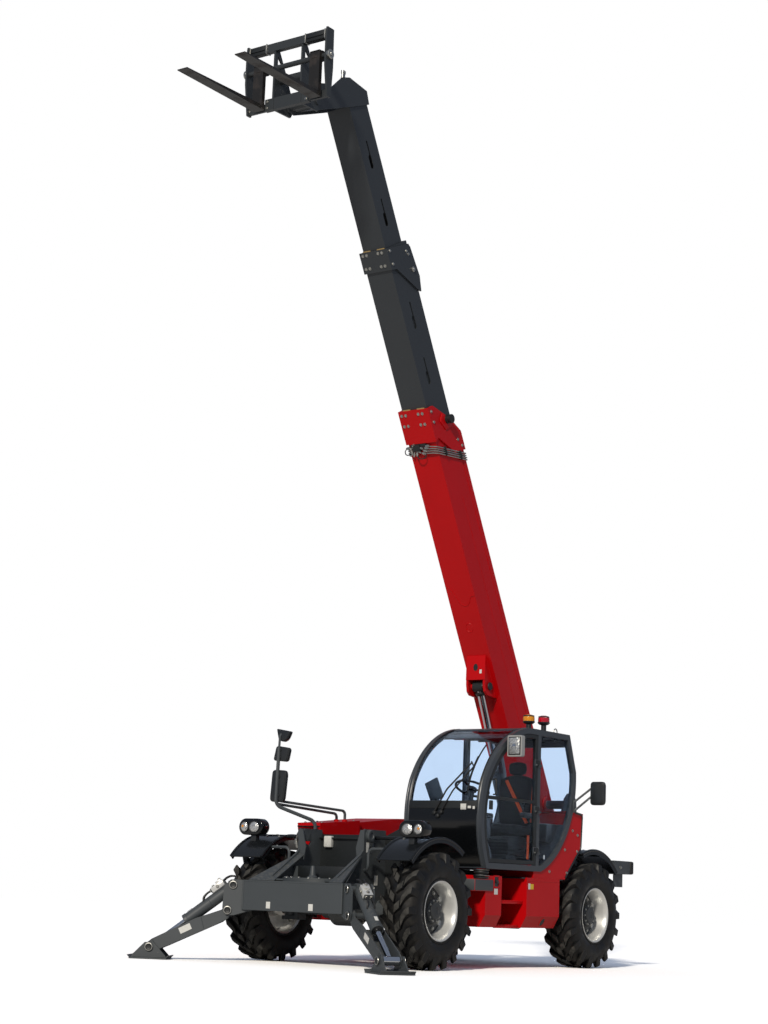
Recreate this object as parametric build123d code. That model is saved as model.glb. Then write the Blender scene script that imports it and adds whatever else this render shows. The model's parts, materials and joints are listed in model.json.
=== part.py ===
"""Telehandler with a three-stage boom, swept front stabilisers and a fork carriage.

Millimetres. +X is forward, +Y is left, +Z is up. The origin is on the ground, under the middle
of the whole machine. Each piece is one STEP file in parts/, named after its node.
The boom pieces are drawn along their own axis and then leaned to BOOM_ANGLE.
"""
import os
from math import cos, hypot, pi, radians, sin, sqrt

from build123d import *

os.makedirs("parts", exist_ok=True)

# ---- running gear -------------------------------------------------------------------------
REAR_AXLE_X = -2500.0
WHEELBASE = 3140.0
FRONT_AXLE_X = REAR_AXLE_X + WHEELBASE
TYRE_RADIUS = 583.0             # 405/70-24 tyre, out to the tips of its lugs
TYRE_WIDTH = 405.0
TYRE_FACETS = 36                # flats round the carcass
LUG_PAIRS = 18                  # one lug on each shoulder in every pitch
LUG_HEIGHT = 32.0
LUG_SPAN = 176.0                # round the wheel, from a lug's outer end to its inner end
RIM_RADIUS = 300.0              # flange of the rim
RIM_WIDTH = 356.0
RIM_WALL = 10.0
TRACK_HALF = 985.0              # middle of the tyre from the machine's centre plane
KINGPIN_Y = 720.0
KINGPIN_RADIUS = 30.0
YOKE_WALL_Y = 628.0             # outer face of the wall that joins the yoke's two arms
SPINDLE_RADIUS = 60.0
RUNNING_CLEARANCE = 0.05        # radial, at every pin and spindle
FACE_GAP = 0.3                  # between faces that slide past each other

# ---- chassis ------------------------------------------------------------------------------
FRAME_HALF = 420.0              # outer faces of the two side plates
FRAME_PLATE = 22.0
FRAME_TOP = 1020.0
FRAME_BELLY = 450.0
AXLE_SEAT_Z = 720.0
UPRIGHT_TOP = 1370.0
UPRIGHT_FRONT_X = 955.0
UPRIGHT_REAR_X = 590.0
FLANGE_WIDE, FLANGE_DEEP = 100.0, 210.0     # front flange at the top of each upright
BUMPER_REAR_X = -3470.0
BUMPER_HALF = 1100.0

HOOD_HINGE_Y, HOOD_HINGE_Z = -450.0, 1540.0
HOOD_HINGES_X = (-1700.0, -1150.0)
HOOD_PIN_RADIUS = 8.0

# ---- stabilisers --------------------------------------------------------------------------
BEAM_FRONT_X = 1585.0
BEAM_DEPTH = 190.0
BEAM_HALF = 631.0
BEAM_BOTTOM = 522.0
BEAM_TOP = 819.0
LEG_SWEEP = 32.0                # the legs reach forward as well as out
LEG_PIVOT = (1544.0, 825.0, 513.0)
LEG_LENGTH = 875.0
LEG_HALF_DEPTH = 137.0          # outer ends of the pins, along the hinge axis
LEG_CYLINDER_PIN = (-47.0, 253.0)   # out along the leg's plane, and up, from the leg's pivot
FOOT_PIN_Z = 120.0
PAD_CLEAR = 1.0                 # under the pads at rest
PIN_RADIUS = 30.0

FENDER_RADIUS = 722.0
FENDER_THICK = 10.0
FENDER_LIP = 50.0               # depth of the skirts along both edges
FENDER_LIP_THICK = 12.0
FENDER_INNER_Y, FENDER_OUTER_Y = 730.0, 1150.0

# ---- boom ---------------------------------------------------------------------------------
BOOM_ANGLE = 60.86
lean = radians(BOOM_ANGLE)
BOOM_Y = -100.0
PIVOT_X = -3200.0
PIVOT_Z = 1850.0
BOOM_PIN_RADIUS = 50.0
BOOM_DROP = 381.0               # underside of the outer boom below its pivot
BOOM_TAIL = -300.0
OUTER_WIDTH, OUTER_HEIGHT, OUTER_WALL = 370.0, 510.0, 10.0
MIDDLE_WIDTH, MIDDLE_HEIGHT, MIDDLE_WALL = 335.0, 430.0, 9.0
INNER_WIDTH, INNER_HEIGHT, INNER_WALL = 300.0, 345.0, 8.0
SLIDE_GAP = 15.0                # underside of one section above the underside of the next larger
OUTER_END = 5086.0
OUTER_COLLAR = 392.0
MIDDLE_START, MIDDLE_END, MIDDLE_COLLAR = 1680.0, 6931.0, 239.0
INNER_START, INNER_END = 3180.0, 8518.0
COLLAR_WALL = 20.0
# Side plates of the two collars, in (ahead of the mouth, above the section's underside): they slant
# back and down from the mouth's underside to a pointed lug on the boom's back.
OUTER_COLLAR_SIDE = [(0, -COLLAR_WALL), (0, 91), (-234, 378), (-431, OUTER_HEIGHT + COLLAR_WALL),
                     (-653, OUTER_HEIGHT + COLLAR_WALL), (-626, 310), (-366, 51),
                     (-OUTER_COLLAR, -COLLAR_WALL)]
MIDDLE_COLLAR_SIDE = [(0, -COLLAR_WALL), (-41, 426), (-81, MIDDLE_HEIGHT + COLLAR_WALL), (-431, 496),
                      (-599, 452), (-557, 387), (-255, 83), (-MIDDLE_COLLAR, -COLLAR_WALL)]
OUTER_BACK_PLATE = (-653.0, -431.0)     # ahead of the mouth, on the boom's back
MIDDLE_BACK_PLATE = (-511.0, -71.0)
MIDDLE_SLOTS = (-1539.0, -891.0)        # slots in both walls, ahead of the section's end
INNER_SLOTS = (-1288.0, -638.0)
LIFTING_EYES = (2050.0, 3150.0)         # along the outer boom's back
MOUTH_SET_BACK = 434.0          # top wear pad of the outer boom behind the lower one
LIFT_LUG_PIN = (1742.0, -98.0)  # along the boom, and below its underside, of the lift pin
LIFT_FOOT = (-2920.0, 1020.0)   # lower pin of the lift cylinder
LIFT_BORE_RADIUS = 85.0
LIFT_ROD_RADIUS = 45.0
LIFT_PIN_RADIUS = 35.0
LIFT_EYE_RADIUS = 50.0          # eye on the rod's end
LIFT_BARREL_LENGTH = 1330.0
LIFT_GLAND = 40.0
LIFT_PISTON = 60.0
LIFT_OVERLAP = 230.0            # rod still inside the barrel at rest

# ---- fork carriage ------------------------------------------------------------------------
TILT_PIN = (INNER_END + 144.0, -987.0)      # along the boom, and above its pivot
TILT_X = PIVOT_X + TILT_PIN[0] * cos(lean) - TILT_PIN[1] * sin(lean)
TILT_Z = PIVOT_Z + TILT_PIN[0] * sin(lean) + TILT_PIN[1] * cos(lean)
TILT_PIN_RADIUS = 30.0
HEAD_PLATE = 16.0
CARRIAGE_FRONT_X = TILT_X + 290
CARRIAGE_HALF = 540.0
SHAFT_Z = TILT_Z + 355          # the fork shaft, which the carriage's heights hang from
CARRIAGE_TOP = SHAFT_Z + 290
CARRIAGE_BOTTOM = TILT_Z - 105
SHAFT_RADIUS = 28.0
FORK_PLACES = (400.0, -350.0)   # each fork from the boom's centre plane
FORK_WIDTH, FORK_THICK, FORK_LENGTH = 130.0, 50.0, 1250.0

# ---- cab ----------------------------------------------------------------------------------
CAB_RIGHT_Y, CAB_LEFT_Y = 165.0, 1140.0
CAB_RING_WIDE = 62.0            # depth of a side ring in its own plane
CAB_RING_THICK = 55.0
CAB_FLOOR_Z = 1030.0
CAB_FLOOR_THICK = 40.0
CAB_MOUNTS_X = (-1250.0, -400.0)    # rubber mounts on the frame's left side plate
CAB_ROOF_Z = 2560.0
CAB_REAR_X = -2055.0
CAB_WAIST_Z = 1560.0            # lower edge of the side and rear windows
CAB_HEADER_Z = 2420.0           # lower edge of the rear roof rail
ROOF_REAR_X, ROOF_FRONT_X = -1870.0, -900.0
BEYOND = 150.0                  # how far cutting blocks reach past the cab
PILLAR_X = -1250.0
PILLAR_WIDE = 60.0
SILL_Z = 1720.0                 # lower edge of the windscreen
GLASS = 6.0
DOOR_GAP = 6.0
DOOR_RAIL = 40.0
DOOR_HINGES_Z = (1250.0, 1690.0, 2190.0)


# ---- helpers ------------------------------------------------------------------------------
def block(x0, x1, y0, y1, z0, z1):
    """A box between two corners."""
    middle = ((x0 + x1) / 2, (y0 + y1) / 2, (z0 + z1) / 2)
    return Box(abs(x1 - x0), abs(y1 - y0), abs(z1 - z0)).moved(Location(middle))


def rod_x(radius, x0, x1, y, z):
    return Cylinder(radius, abs(x1 - x0)).moved(Location(((x0 + x1) / 2, y, z), (0, 90, 0)))


def rod_y(radius, y0, y1, x, z):
    return Cylinder(radius, abs(y1 - y0)).moved(Location((x, (y0 + y1) / 2, z), (90, 0, 0)))


def rod_z(radius, z0, z1, x, y):
    return Cylinder(radius, abs(z1 - z0)).moved(Location((x, y, (z0 + z1) / 2)))


def rod_between(radius, start, end):
    """A round bar from one point to another."""
    start, end = Vector(*start), Vector(*end)
    way = end - start
    disc = Plane(origin=start, z_dir=way) * Circle(radius)
    return extrude(disc, amount=way.length)


def prism_y(face, y0, y1):
    """A face drawn in (x, z), between two distances to the left."""
    plane = Plane(origin=(0, y1, 0), x_dir=(1, 0, 0), z_dir=(0, -1, 0))
    return extrude(plane * face, amount=y1 - y0)


def prism_x(face, x0, x1):
    """A face drawn in (y, z), between two distances forward."""
    plane = Plane(origin=(x0, 0, 0), x_dir=(0, 1, 0), z_dir=(1, 0, 0))
    return extrude(plane * face, amount=x1 - x0)


def polygon(*points):
    return make_face(Polyline(*points, close=True))


def slab(points, thickness):
    """A flat plate through corner points in space, thickened to both sides."""
    face = make_face(Polyline(*points, close=True))
    return extrude(face, amount=thickness / 2, both=True)


def bent_tube(radius, bend, *points):
    """A solid bar along straight runs with the same bend at each corner."""
    path = FilletPolyline(*points, radius=bend) if len(points) > 2 else Line(*points)
    return sweep(Plane(origin=path @ 0, z_dir=path % 0) * Circle(radius), path=path)


def both_sides(shape):
    """The shape and its mirror image on the machine's other side."""
    return [shape, mirror(shape, about=Plane.XZ)]


def fuse(*pieces):
    flat = []
    for piece in pieces:
        flat += piece if isinstance(piece, list) else [piece]
    first, rest = flat[0], flat[1:]
    return first.fuse(*rest) if rest else first


def save(name, *shapes):
    flat = []
    for shape in shapes:
        flat += shape if isinstance(shape, list) else [shape]
    solids = [solid for shape in flat for solid in shape.solids()]
    body = solids[0] if len(solids) == 1 else Compound(children=solids)
    export_step(body, f"parts/{name}.step")


# ---- wheels -------------------------------------------------------------------------------
def faceted_ring(section, sides):
    """A closed (radius, height) section carried round Z in flats that keep its radii."""
    stretch = 1 / cos(pi / sides)
    step = 2 * pi / sides
    rings = [[(r * stretch * cos(step * (n + 0.5)), r * stretch * sin(step * (n + 0.5)), z)
              for n in range(sides)] for r, z in section]
    faces = []
    for ring, beyond in zip(rings, rings[1:] + rings[:1]):
        for n in range(sides):
            m = (n + 1) % sides
            faces.append(make_face(Polyline(ring[n], ring[m], beyond[m], beyond[n], close=True)))
    return Solid(Shell(faces))


def lug():
    """Rubber bar at angle 0, slanting from the shoulder on +Z to just past the tyre's middle."""
    half = LUG_SPAN / 2
    top = sqrt(TYRE_RADIUS ** 2 - half ** 2)
    outer_end, inner_end = TYRE_WIDTH / 2 - 6, -8
    outline = polygon((-half, outer_end), (-half + 74, outer_end), (half, inner_end + 62), (half, inner_end),
                      (half - 58, inner_end))
    floor = Plane(origin=(top - 2.4 * LUG_HEIGHT, 0, 0), x_dir=(0, 1, 0), z_dir=(1, 0, 0))
    return extrude(floor * outline, amount=2.4 * LUG_HEIGHT)


def tyre_shape():
    """Tyre about Z: bead, bulging sidewall and flat crown, with lugs that reach in from both shoulders."""
    half, bore, crown = TYRE_WIDTH / 2, RIM_RADIUS - RIM_WALL, TYRE_RADIUS - LUG_HEIGHT
    side = [                        # (radius, distance from the tyre's middle), bead to crown
        (bore, RIM_WIDTH / 2 - 30), (RIM_RADIUS + 2, RIM_WIDTH / 2 - 8), (450, half), (crown, half - 62),
    ]
    section = [(r, -w) for r, w in side] + [(r, w) for r, w in reversed(side)]
    left_lug = lug()
    right_lug = mirror(left_lug, about=Plane.XY)
    pitch = 360 / LUG_PAIRS
    lugs = [shape.rotate(Axis.Z, (n + phase) * pitch) for n in range(LUG_PAIRS)
            for shape, phase in ((left_lug, 0), (right_lug, 0.5))]
    return faceted_ring(section, TYRE_FACETS).fuse(*lugs)


def rim_shape():
    """Deep-dish rim about Z with its disc and planetary hub, open towards -Z for the spindle."""
    half, bead = RIM_WIDTH / 2, RIM_RADIUS - RIM_WALL
    barrel = [
        (bead - RIM_WALL, -half + 12), (RIM_RADIUS, -half), (RIM_RADIUS, -half + 10),
        (bead, -half + 30), (bead, half - 30), (RIM_RADIUS, half - 10), (RIM_RADIUS, half),
        (bead - RIM_WALL, half - 12),
    ]
    wheel = revolve(Plane.XZ * polygon(*barrel), Axis.Z)
    disc = rod_z(bead - 1, -10, 14, 0, 0)
    hub = rod_z(120, -135, 70, 0, 0) + rod_z(85, 70, 120, 0, 0)
    bore = rod_z(SPINDLE_RADIUS + RUNNING_CLEARANCE, -136, -22, 0, 0)
    return wheel + disc + hub - bore


def wheel_place(axle_x, side):
    """Turns a wheel drawn about Z, dished towards +Z, to stand on the left (1) or right (-1)."""
    return Location((axle_x, side * TRACK_HALF, TYRE_RADIUS), (-90 * side, 0, 0))


def knuckle_shape():
    """Left steering knuckle at the origin of its kingpin, spindle towards +Y."""
    reach = TRACK_HALF - KINGPIN_Y - 25
    barrel = rod_z(70, -110, 110, 0, 0)
    pins = rod_z(KINGPIN_RADIUS, -150, 150, 0, 0)
    spindle = rod_y(SPINDLE_RADIUS, 0, reach, 0, 0)
    flange = rod_y(95, 60, 85, 0, 0)
    arm = block(-165, 0, -35, 35, -70, -40)
    return barrel + pins + spindle + flange + arm


def axle_shape():
    """Rigid axle with a round centre housing, seats for the frame and a yoke at each end."""
    beam = rod_y(90, -600, 600, 0, 0)
    centre = rod_y(190, -110, 150, 0, 0) + rod_y(120, -260, 300, 0, 0)
    pieces = [beam, centre, rod_x(75, -260, 260, 20, 0)]
    height = 150
    for part in both_sides(
        block(-75, 75, YOKE_WALL_Y - 43, YOKE_WALL_Y, -height, height)
        + block(-75, 75, 600, KINGPIN_Y + 70, 110 + FACE_GAP, height)
        + block(-75, 75, 600, KINGPIN_Y + 70, -height, -110 - FACE_GAP)
        + block(-110, 110, FRAME_HALF - 80, FRAME_HALF, 0, AXLE_SEAT_Z - TYRE_RADIUS)
    ):
        pieces.append(part)
    axle = fuse(*pieces)
    for side in (1, -1):
        axle -= rod_z(KINGPIN_RADIUS + RUNNING_CLEARANCE, -200, 200, 0, side * KINGPIN_Y)
    return axle


tyre = tyre_shape()
rim = rim_shape()
knuckle = knuckle_shape()
axle = axle_shape()
save("axles", [axle.moved(Location((x, 0, TYRE_RADIUS))) for x in (FRONT_AXLE_X, REAR_AXLE_X)])
for end, axle_x in (("front", FRONT_AXLE_X), ("rear", REAR_AXLE_X)):
    for side_name, side in (("left", 1), ("right", -1)):
        place = wheel_place(axle_x, side)
        turned = knuckle if side == 1 else mirror(knuckle, about=Plane.XZ)
        save(f"{end}_{side_name}_tyre", (tyre if side == 1 else mirror(tyre, about=Plane.YZ)).moved(place))
        save(f"{end}_{side_name}_rim", rim.moved(place))
        save(f"{end}_{side_name}_knuckle",
             turned.moved(Location((axle_x, side * KINGPIN_Y, TYRE_RADIUS))))


# ---- chassis frame ------------------------------------------------------------------------
def side_plate():
    """Side plate of the frame: rear tower, deep middle, front nose with an upright."""
    beam_back = BEAM_FRONT_X - BEAM_DEPTH
    outline = polygon(
        (BUMPER_REAR_X + 60, AXLE_SEAT_Z + 60), (REAR_AXLE_X - 200, AXLE_SEAT_Z),
        (REAR_AXLE_X + 480, AXLE_SEAT_Z), (REAR_AXLE_X + 660, FRAME_BELLY),
        (FRONT_AXLE_X - 660, FRAME_BELLY), (FRONT_AXLE_X - 480, AXLE_SEAT_Z),
        (FRONT_AXLE_X + 420, AXLE_SEAT_Z), (beam_back - 120, BEAM_BOTTOM + 30),
        (beam_back, BEAM_BOTTOM + 30), (beam_back, BEAM_TOP + 60),
        (UPRIGHT_FRONT_X + 60, UPRIGHT_TOP - 260), (UPRIGHT_FRONT_X, UPRIGHT_TOP - 200),
        (UPRIGHT_FRONT_X, UPRIGHT_TOP), (UPRIGHT_REAR_X, UPRIGHT_TOP),
        (UPRIGHT_REAR_X - 60, FRAME_TOP), (REAR_AXLE_X + 60, FRAME_TOP),
        (PIVOT_X + 260, PIVOT_Z - 240), (PIVOT_X + 130, PIVOT_Z + 70),
        (PIVOT_X + 60, PIVOT_Z + 130), (PIVOT_X - 60, PIVOT_Z + 130),
        (PIVOT_X - 130, PIVOT_Z + 60), (BUMPER_REAR_X + 60, FRAME_TOP),
    )
    window = polygon((UPRIGHT_FRONT_X - 45, UPRIGHT_TOP - 130), (UPRIGHT_FRONT_X - 45, 1060),
                     (UPRIGHT_FRONT_X - 190, UPRIGHT_TOP - 130))
    plate = prism_y(outline, FRAME_HALF - FRAME_PLATE, FRAME_HALF)
    plate -= prism_y(window, FRAME_HALF - 60, FRAME_HALF + 10)
    plate += rod_y(60, FRAME_HALF - 40, FRAME_HALF + 14, UPRIGHT_FRONT_X - 70, UPRIGHT_TOP - 65)
    return plate


def gusset():
    """Sloping stay from the top of the stabiliser beam up to the upright's front flange."""
    top, x, y = BEAM_TOP - 2, UPRIGHT_FRONT_X + 12, FRAME_HALF - FLANGE_WIDE + 20
    a = Vector(BEAM_FRONT_X - 40, 590, top)
    b = Vector(BEAM_FRONT_X - 150, 350, top)
    c = Vector(x, FRAME_HALF - 8, UPRIGHT_TOP - 260)
    normal = (b - a).cross(c - a)
    z = a.Z - (normal.X * (x - a.X) + normal.Y * (y - a.Y)) / normal.Z
    return slab([a, b, (x, y, z), c], 16)


def flange():
    """Broad front flange at the top of the upright, with one lower corner cut off."""
    inner, low = FRAME_HALF - FLANGE_WIDE, UPRIGHT_TOP - FLANGE_DEEP
    face = polygon((FRAME_HALF, UPRIGHT_TOP - 10), (inner + 50, UPRIGHT_TOP - 10), (inner, low + 20),
                   (inner + 20, low - 110), (FRAME_HALF, low - 60))
    return prism_x(face, UPRIGHT_FRONT_X - 2, UPRIGHT_FRONT_X + 12)


inside = FRAME_HALF - FRAME_PLATE
cross_pieces = [                # (rear x, front x, low z, high z) of each plate across the frame
    (BUMPER_REAR_X + 60, BUMPER_REAR_X + 80, AXLE_SEAT_Z + 80, FRAME_TOP + 200),
    (REAR_AXLE_X + 420, REAR_AXLE_X + 440, AXLE_SEAT_Z + 10, 860),
    (REAR_AXLE_X + 700, FRONT_AXLE_X - 700, FRAME_BELLY, FRAME_BELLY + 16),
    (FRONT_AXLE_X - 520, FRONT_AXLE_X - 500, FRAME_BELLY + 150, 1000),
    (UPRIGHT_REAR_X - 20, UPRIGHT_REAR_X, 800, 1290),
    (FRONT_AXLE_X + 400, FRONT_AXLE_X + 420, AXLE_SEAT_Z + 5, 980),
]
beam = block(BEAM_FRONT_X - BEAM_DEPTH, BEAM_FRONT_X, -BEAM_HALF, BEAM_HALF, BEAM_BOTTOM, BEAM_TOP)
nose_deck = block(UPRIGHT_FRONT_X + 60, BEAM_FRONT_X - BEAM_DEPTH + 5, -inside - 5, inside + 5,
                  BEAM_TOP + 10, BEAM_TOP + 26)
DECK_RADIUS = 376.0             # round plate bolted over the beam and the nose
deck = (rod_z(DECK_RADIUS, BEAM_TOP - 2, BEAM_TOP + 40, BEAM_FRONT_X - 455, 0)
        & block(BEAM_FRONT_X - BEAM_DEPTH, BEAM_FRONT_X, -inside, inside, BEAM_TOP - 2, BEAM_TOP + 40))
frame_parts = [*both_sides(side_plate()), *both_sides(gusset()), *both_sides(flange()), beam, nose_deck, deck]
frame_parts += [block(x0, x1, -inside - 2, inside + 2, z0, z1) for x0, x1, z0, z1 in cross_pieces]
frame_parts += [block(x - 60, x + 60, 360, 440, FRAME_TOP - 10, CAB_FLOOR_Z) for x in CAB_MOUNTS_X]
for x in HOOD_HINGES_X:         # brackets beside the hood that hold its hinge pins
    frame_parts += [block(x - 15, x + 15, HOOD_HINGE_Y - 12, -inside, FRAME_TOP - 40, FRAME_TOP + 10),
                    block(x - 15, x + 15, HOOD_HINGE_Y - 12, HOOD_HINGE_Y + 12, FRAME_TOP, HOOD_HINGE_Z + 6),
                    rod_x(HOOD_PIN_RADIUS, x, x + 80, HOOD_HINGE_Y, HOOD_HINGE_Z)]
frame_parts.append(rod_y(BOOM_PIN_RADIUS, -FRAME_HALF - 25, FRAME_HALF + 25, PIVOT_X, PIVOT_Z))
frame_parts.append(rod_y(LIFT_PIN_RADIUS, -inside - 2, inside + 2, *LIFT_FOOT))


# ---- stabiliser legs ----------------------------------------------------------------------
leg_out = Vector(sin(radians(LEG_SWEEP)), cos(radians(LEG_SWEEP)), 0)
leg_axis = Vector(cos(radians(LEG_SWEEP)), -sin(radians(LEG_SWEEP)), 0)
leg_drop = LEG_PIVOT[2] - FOOT_PIN_Z
leg_reach = sqrt(LEG_LENGTH ** 2 - leg_drop ** 2)
# In the leg's own plane, X runs outwards, Y up and Z along the hinge axis, from the pivot.
LEG_PLANE = Plane(origin=LEG_PIVOT, x_dir=tuple(leg_out), z_dir=tuple(leg_axis))
foot_at = (leg_reach, -leg_drop)
cylinder_way = (foot_at[0] - LEG_CYLINDER_PIN[0], foot_at[1] - LEG_CYLINDER_PIN[1])
cylinder_length = hypot(*cylinder_way)


def leg_block(points, z0, z1):
    """A plate drawn in the leg's plane, between two distances along the hinge axis."""
    return extrude((LEG_PLANE * Location((0, 0, z0))) * polygon(*points), amount=z1 - z0)


def leg_rod(radius, at, z0, z1):
    return extrude((LEG_PLANE * Location((at[0], at[1], z0))) * Circle(radius), amount=z1 - z0)


def along(start, way, length, offset):
    """A point a length along a direction, and an offset to its left."""
    size = hypot(*way)
    dx, dy = way[0] / size, way[1] / size
    return (start[0] + dx * length - dy * offset, start[1] + dy * length + dx * offset)


def leg_bar(radius, start, way, near, far):
    """A round bar in the leg's middle plane, between two lengths along a direction."""
    first = along(start, way, near, 0)
    last = along(start, way, far, 0)
    a = tuple(LEG_PLANE.from_local_coords(Vector(first[0], first[1], 0)))
    b = tuple(LEG_PLANE.from_local_coords(Vector(last[0], last[1], 0)))
    return rod_between(radius, a, b)


EAR_OUTER, EAR_INNER = LEG_HALF_DEPTH - 12, LEG_HALF_DEPTH - 30
ARM_OUTER, ARM_INNER = EAR_INNER - 5, EAR_INNER - 19
ear_outline = [(-250, 10), (-250, 306), (-20, 306), (45, 240), (55, 20), (20, -50), (-60, -50)]


def ear_plates():
    """Two plates welded to the beam's end that carry the leg and its cylinder."""
    parts = [leg_block(ear_outline, EAR_INNER, EAR_OUTER),
             leg_block(ear_outline, -EAR_OUTER, -EAR_INNER)]
    for at in ((0, 0), LEG_CYLINDER_PIN):
        parts.append(leg_rod(PIN_RADIUS, at, EAR_INNER, LEG_HALF_DEPTH))
        parts.append(leg_rod(PIN_RADIUS, at, -LEG_HALF_DEPTH, -EAR_INNER))
    parts.append(leg_rod(PIN_RADIUS, (0, 0), -EAR_INNER, EAR_INNER))
    parts.append(leg_rod(PIN_RADIUS, LEG_CYLINDER_PIN, -EAR_INNER, EAR_INNER))
    parts.append(leg_block([(-300, 60), (-300, 250), (-190, 250), (-190, 60)],
                           -EAR_INNER, EAR_INNER))
    return fuse(*parts)


frame_parts += both_sides(ear_plates())
stay_x = 1000.0                 # bent tubes from the uprights that carry the fenders' front ends
STAY_RADIUS = 16.0
stay_reach = stay_x + STAY_RADIUS - FRONT_AXLE_X
stay_z = TYRE_RADIUS + sqrt((FENDER_RADIUS - FENDER_THICK) ** 2 - stay_reach ** 2) - STAY_RADIUS - 1
frame_parts += both_sides(bent_tube(STAY_RADIUS, 60, (stay_x - 60, FRAME_HALF - 8, 960), (stay_x, 505, 960),
                                    (stay_x, 505, stay_z), (stay_x, 900, stay_z)))
chassis_frame = fuse(*frame_parts)
save("chassis_frame", chassis_frame)

# Dark plates that close the space behind the uprights and reach out to the left fender.
BULKHEAD_TOP, BULKHEAD_OUTER = 1288.0, FENDER_INNER_Y - 5
bulkhead_x = UPRIGHT_REAR_X + FACE_GAP
wing_x = UPRIGHT_REAR_X - 24
save("front_bulkhead",
     block(bulkhead_x, bulkhead_x + 14, -inside + FACE_GAP, inside - FACE_GAP, BEAM_TOP + 30, BULKHEAD_TOP),
     prism_x(polygon((FRAME_HALF + FACE_GAP, 700), (BULKHEAD_OUTER, 930), (BULKHEAD_OUTER, BULKHEAD_TOP),
                     (FRAME_HALF + FACE_GAP, BULKHEAD_TOP)), wing_x, wing_x + 12))

arm_way = foot_at
CYLINDER_RADIUS, ROD_RADIUS, EYE_HALF = 62.0, 28.0, 45.0


def leg_arm():
    """Two side plates joined by a top web, with eyes at the pivot and the foot."""
    side = [along((0, 0), arm_way, *p) for p in
            ((-55, -45), (120, -80), (LEG_LENGTH - 60, -62), (LEG_LENGTH + 45, -40),
             (LEG_LENGTH + 45, 40), (LEG_LENGTH - 60, 62), (330, 62), (60, 30), (-20, 50))]
    arm = fuse(leg_block(side, ARM_INNER, ARM_OUTER), leg_block(side, -ARM_OUTER, -ARM_INNER),
               leg_rod(52, (0, 0), ARM_INNER - 20, ARM_OUTER),
               leg_rod(52, (0, 0), -ARM_OUTER, -ARM_INNER + 20))
    floor = [along((0, 0), arm_way, *p) for p in
             ((150, -80), (LEG_LENGTH - 150, -66), (LEG_LENGTH - 150, -52), (150, -66))]
    arm += leg_block(floor, -ARM_INNER, ARM_INNER)
    for low, high in ((ARM_INNER, LEG_HALF_DEPTH), (-LEG_HALF_DEPTH, -ARM_INNER)):
        arm += leg_rod(PIN_RADIUS, foot_at, low, high)
    return arm - leg_rod(PIN_RADIUS + RUNNING_CLEARANCE, (0, 0), -200, 200)


def leg_barrel():
    """Cylinder barrel, hung from the upper pin between the ear plates."""
    eye = leg_rod(56, LEG_CYLINDER_PIN, -EYE_HALF, EYE_HALF)
    tube = leg_bar(CYLINDER_RADIUS, LEG_CYLINDER_PIN, cylinder_way, 40, 605)
    hole = leg_bar(ROD_RADIUS + RUNNING_CLEARANCE, LEG_CYLINDER_PIN, cylinder_way, 110, 620)
    bore = leg_bar(CYLINDER_RADIUS - 14, LEG_CYLINDER_PIN, cylinder_way, 110, 580)
    eye_hole = leg_rod(PIN_RADIUS + RUNNING_CLEARANCE, LEG_CYLINDER_PIN, -200, 200)
    valve = [along(LEG_CYLINDER_PIN, cylinder_way, *p) for p in
             ((60, 50), (230, 50), (230, 112), (60, 112))]
    return eye + tube + leg_block(valve, -45, 45) - hole - bore - eye_hole


def leg_rod_piece():
    """Chrome rod with its head inside the barrel and a wide eye at the foot."""
    rod = leg_bar(ROD_RADIUS, LEG_CYLINDER_PIN, cylinder_way, 500, cylinder_length - 20)
    head = leg_bar(CYLINDER_RADIUS - 14 - RUNNING_CLEARANCE, LEG_CYLINDER_PIN, cylinder_way, 500, 530)
    return rod + head + leg_rod(44, foot_at, -ARM_INNER + 6, ARM_INNER - 6)


def foot_pad():
    """Ground pad: a flat plate with turned-up edges and two side plates on the foot pin."""
    low = PAD_CLEAR - LEG_PIVOT[2]
    x = foot_at[0]
    side = [(x - 175, low + 14), (x + 175, low + 14), (x + 175, low + 30), (x + 45, foot_at[1] + 45),
            (x - 45, foot_at[1] + 45), (x - 175, low + 30)]
    hole = leg_rod(PIN_RADIUS + RUNNING_CLEARANCE, foot_at, -200, 200)
    pad = fuse(leg_block([(x - 190, low), (x + 190, low), (x + 190, low + 14), (x - 190, low + 14)],
                         -LEG_HALF_DEPTH - 40, LEG_HALF_DEPTH + 40),
               leg_block(side, ARM_OUTER + 3, ARM_OUTER + 17),
               leg_block(side, -ARM_OUTER - 17, -ARM_OUTER - 3))
    return pad - hole


for name, shape in (("leg_arm", leg_arm()), ("leg_barrel", leg_barrel()),
                    ("leg_rod", leg_rod_piece()), ("foot_pad", foot_pad())):
    save(f"left_{name}", shape)
    save(f"right_{name}", mirror(shape, about=Plane.XZ))


# ---- boom ---------------------------------------------------------------------------------
# Along the boom: X. Left: Y. Up from its underside: Z. The origin is the boom's pivot.
BOOM = Plane(origin=(PIVOT_X, BOOM_Y, PIVOT_Z), x_dir=(cos(lean), 0, sin(lean)),
             z_dir=(-sin(lean), 0, cos(lean))).location


def section(start, end, width, low, height):
    return block(start, end, -width / 2, width / 2, low, low + height)


def hollow(start, end, width, low, height, wall):
    return section(start, end, width, low, height) - section(
        start - 1, end + 1, width - 2 * wall, low + wall, height - 2 * wall)


outer_low = -BOOM_DROP
middle_low = outer_low + SLIDE_GAP
inner_low = middle_low + SLIDE_GAP


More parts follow.
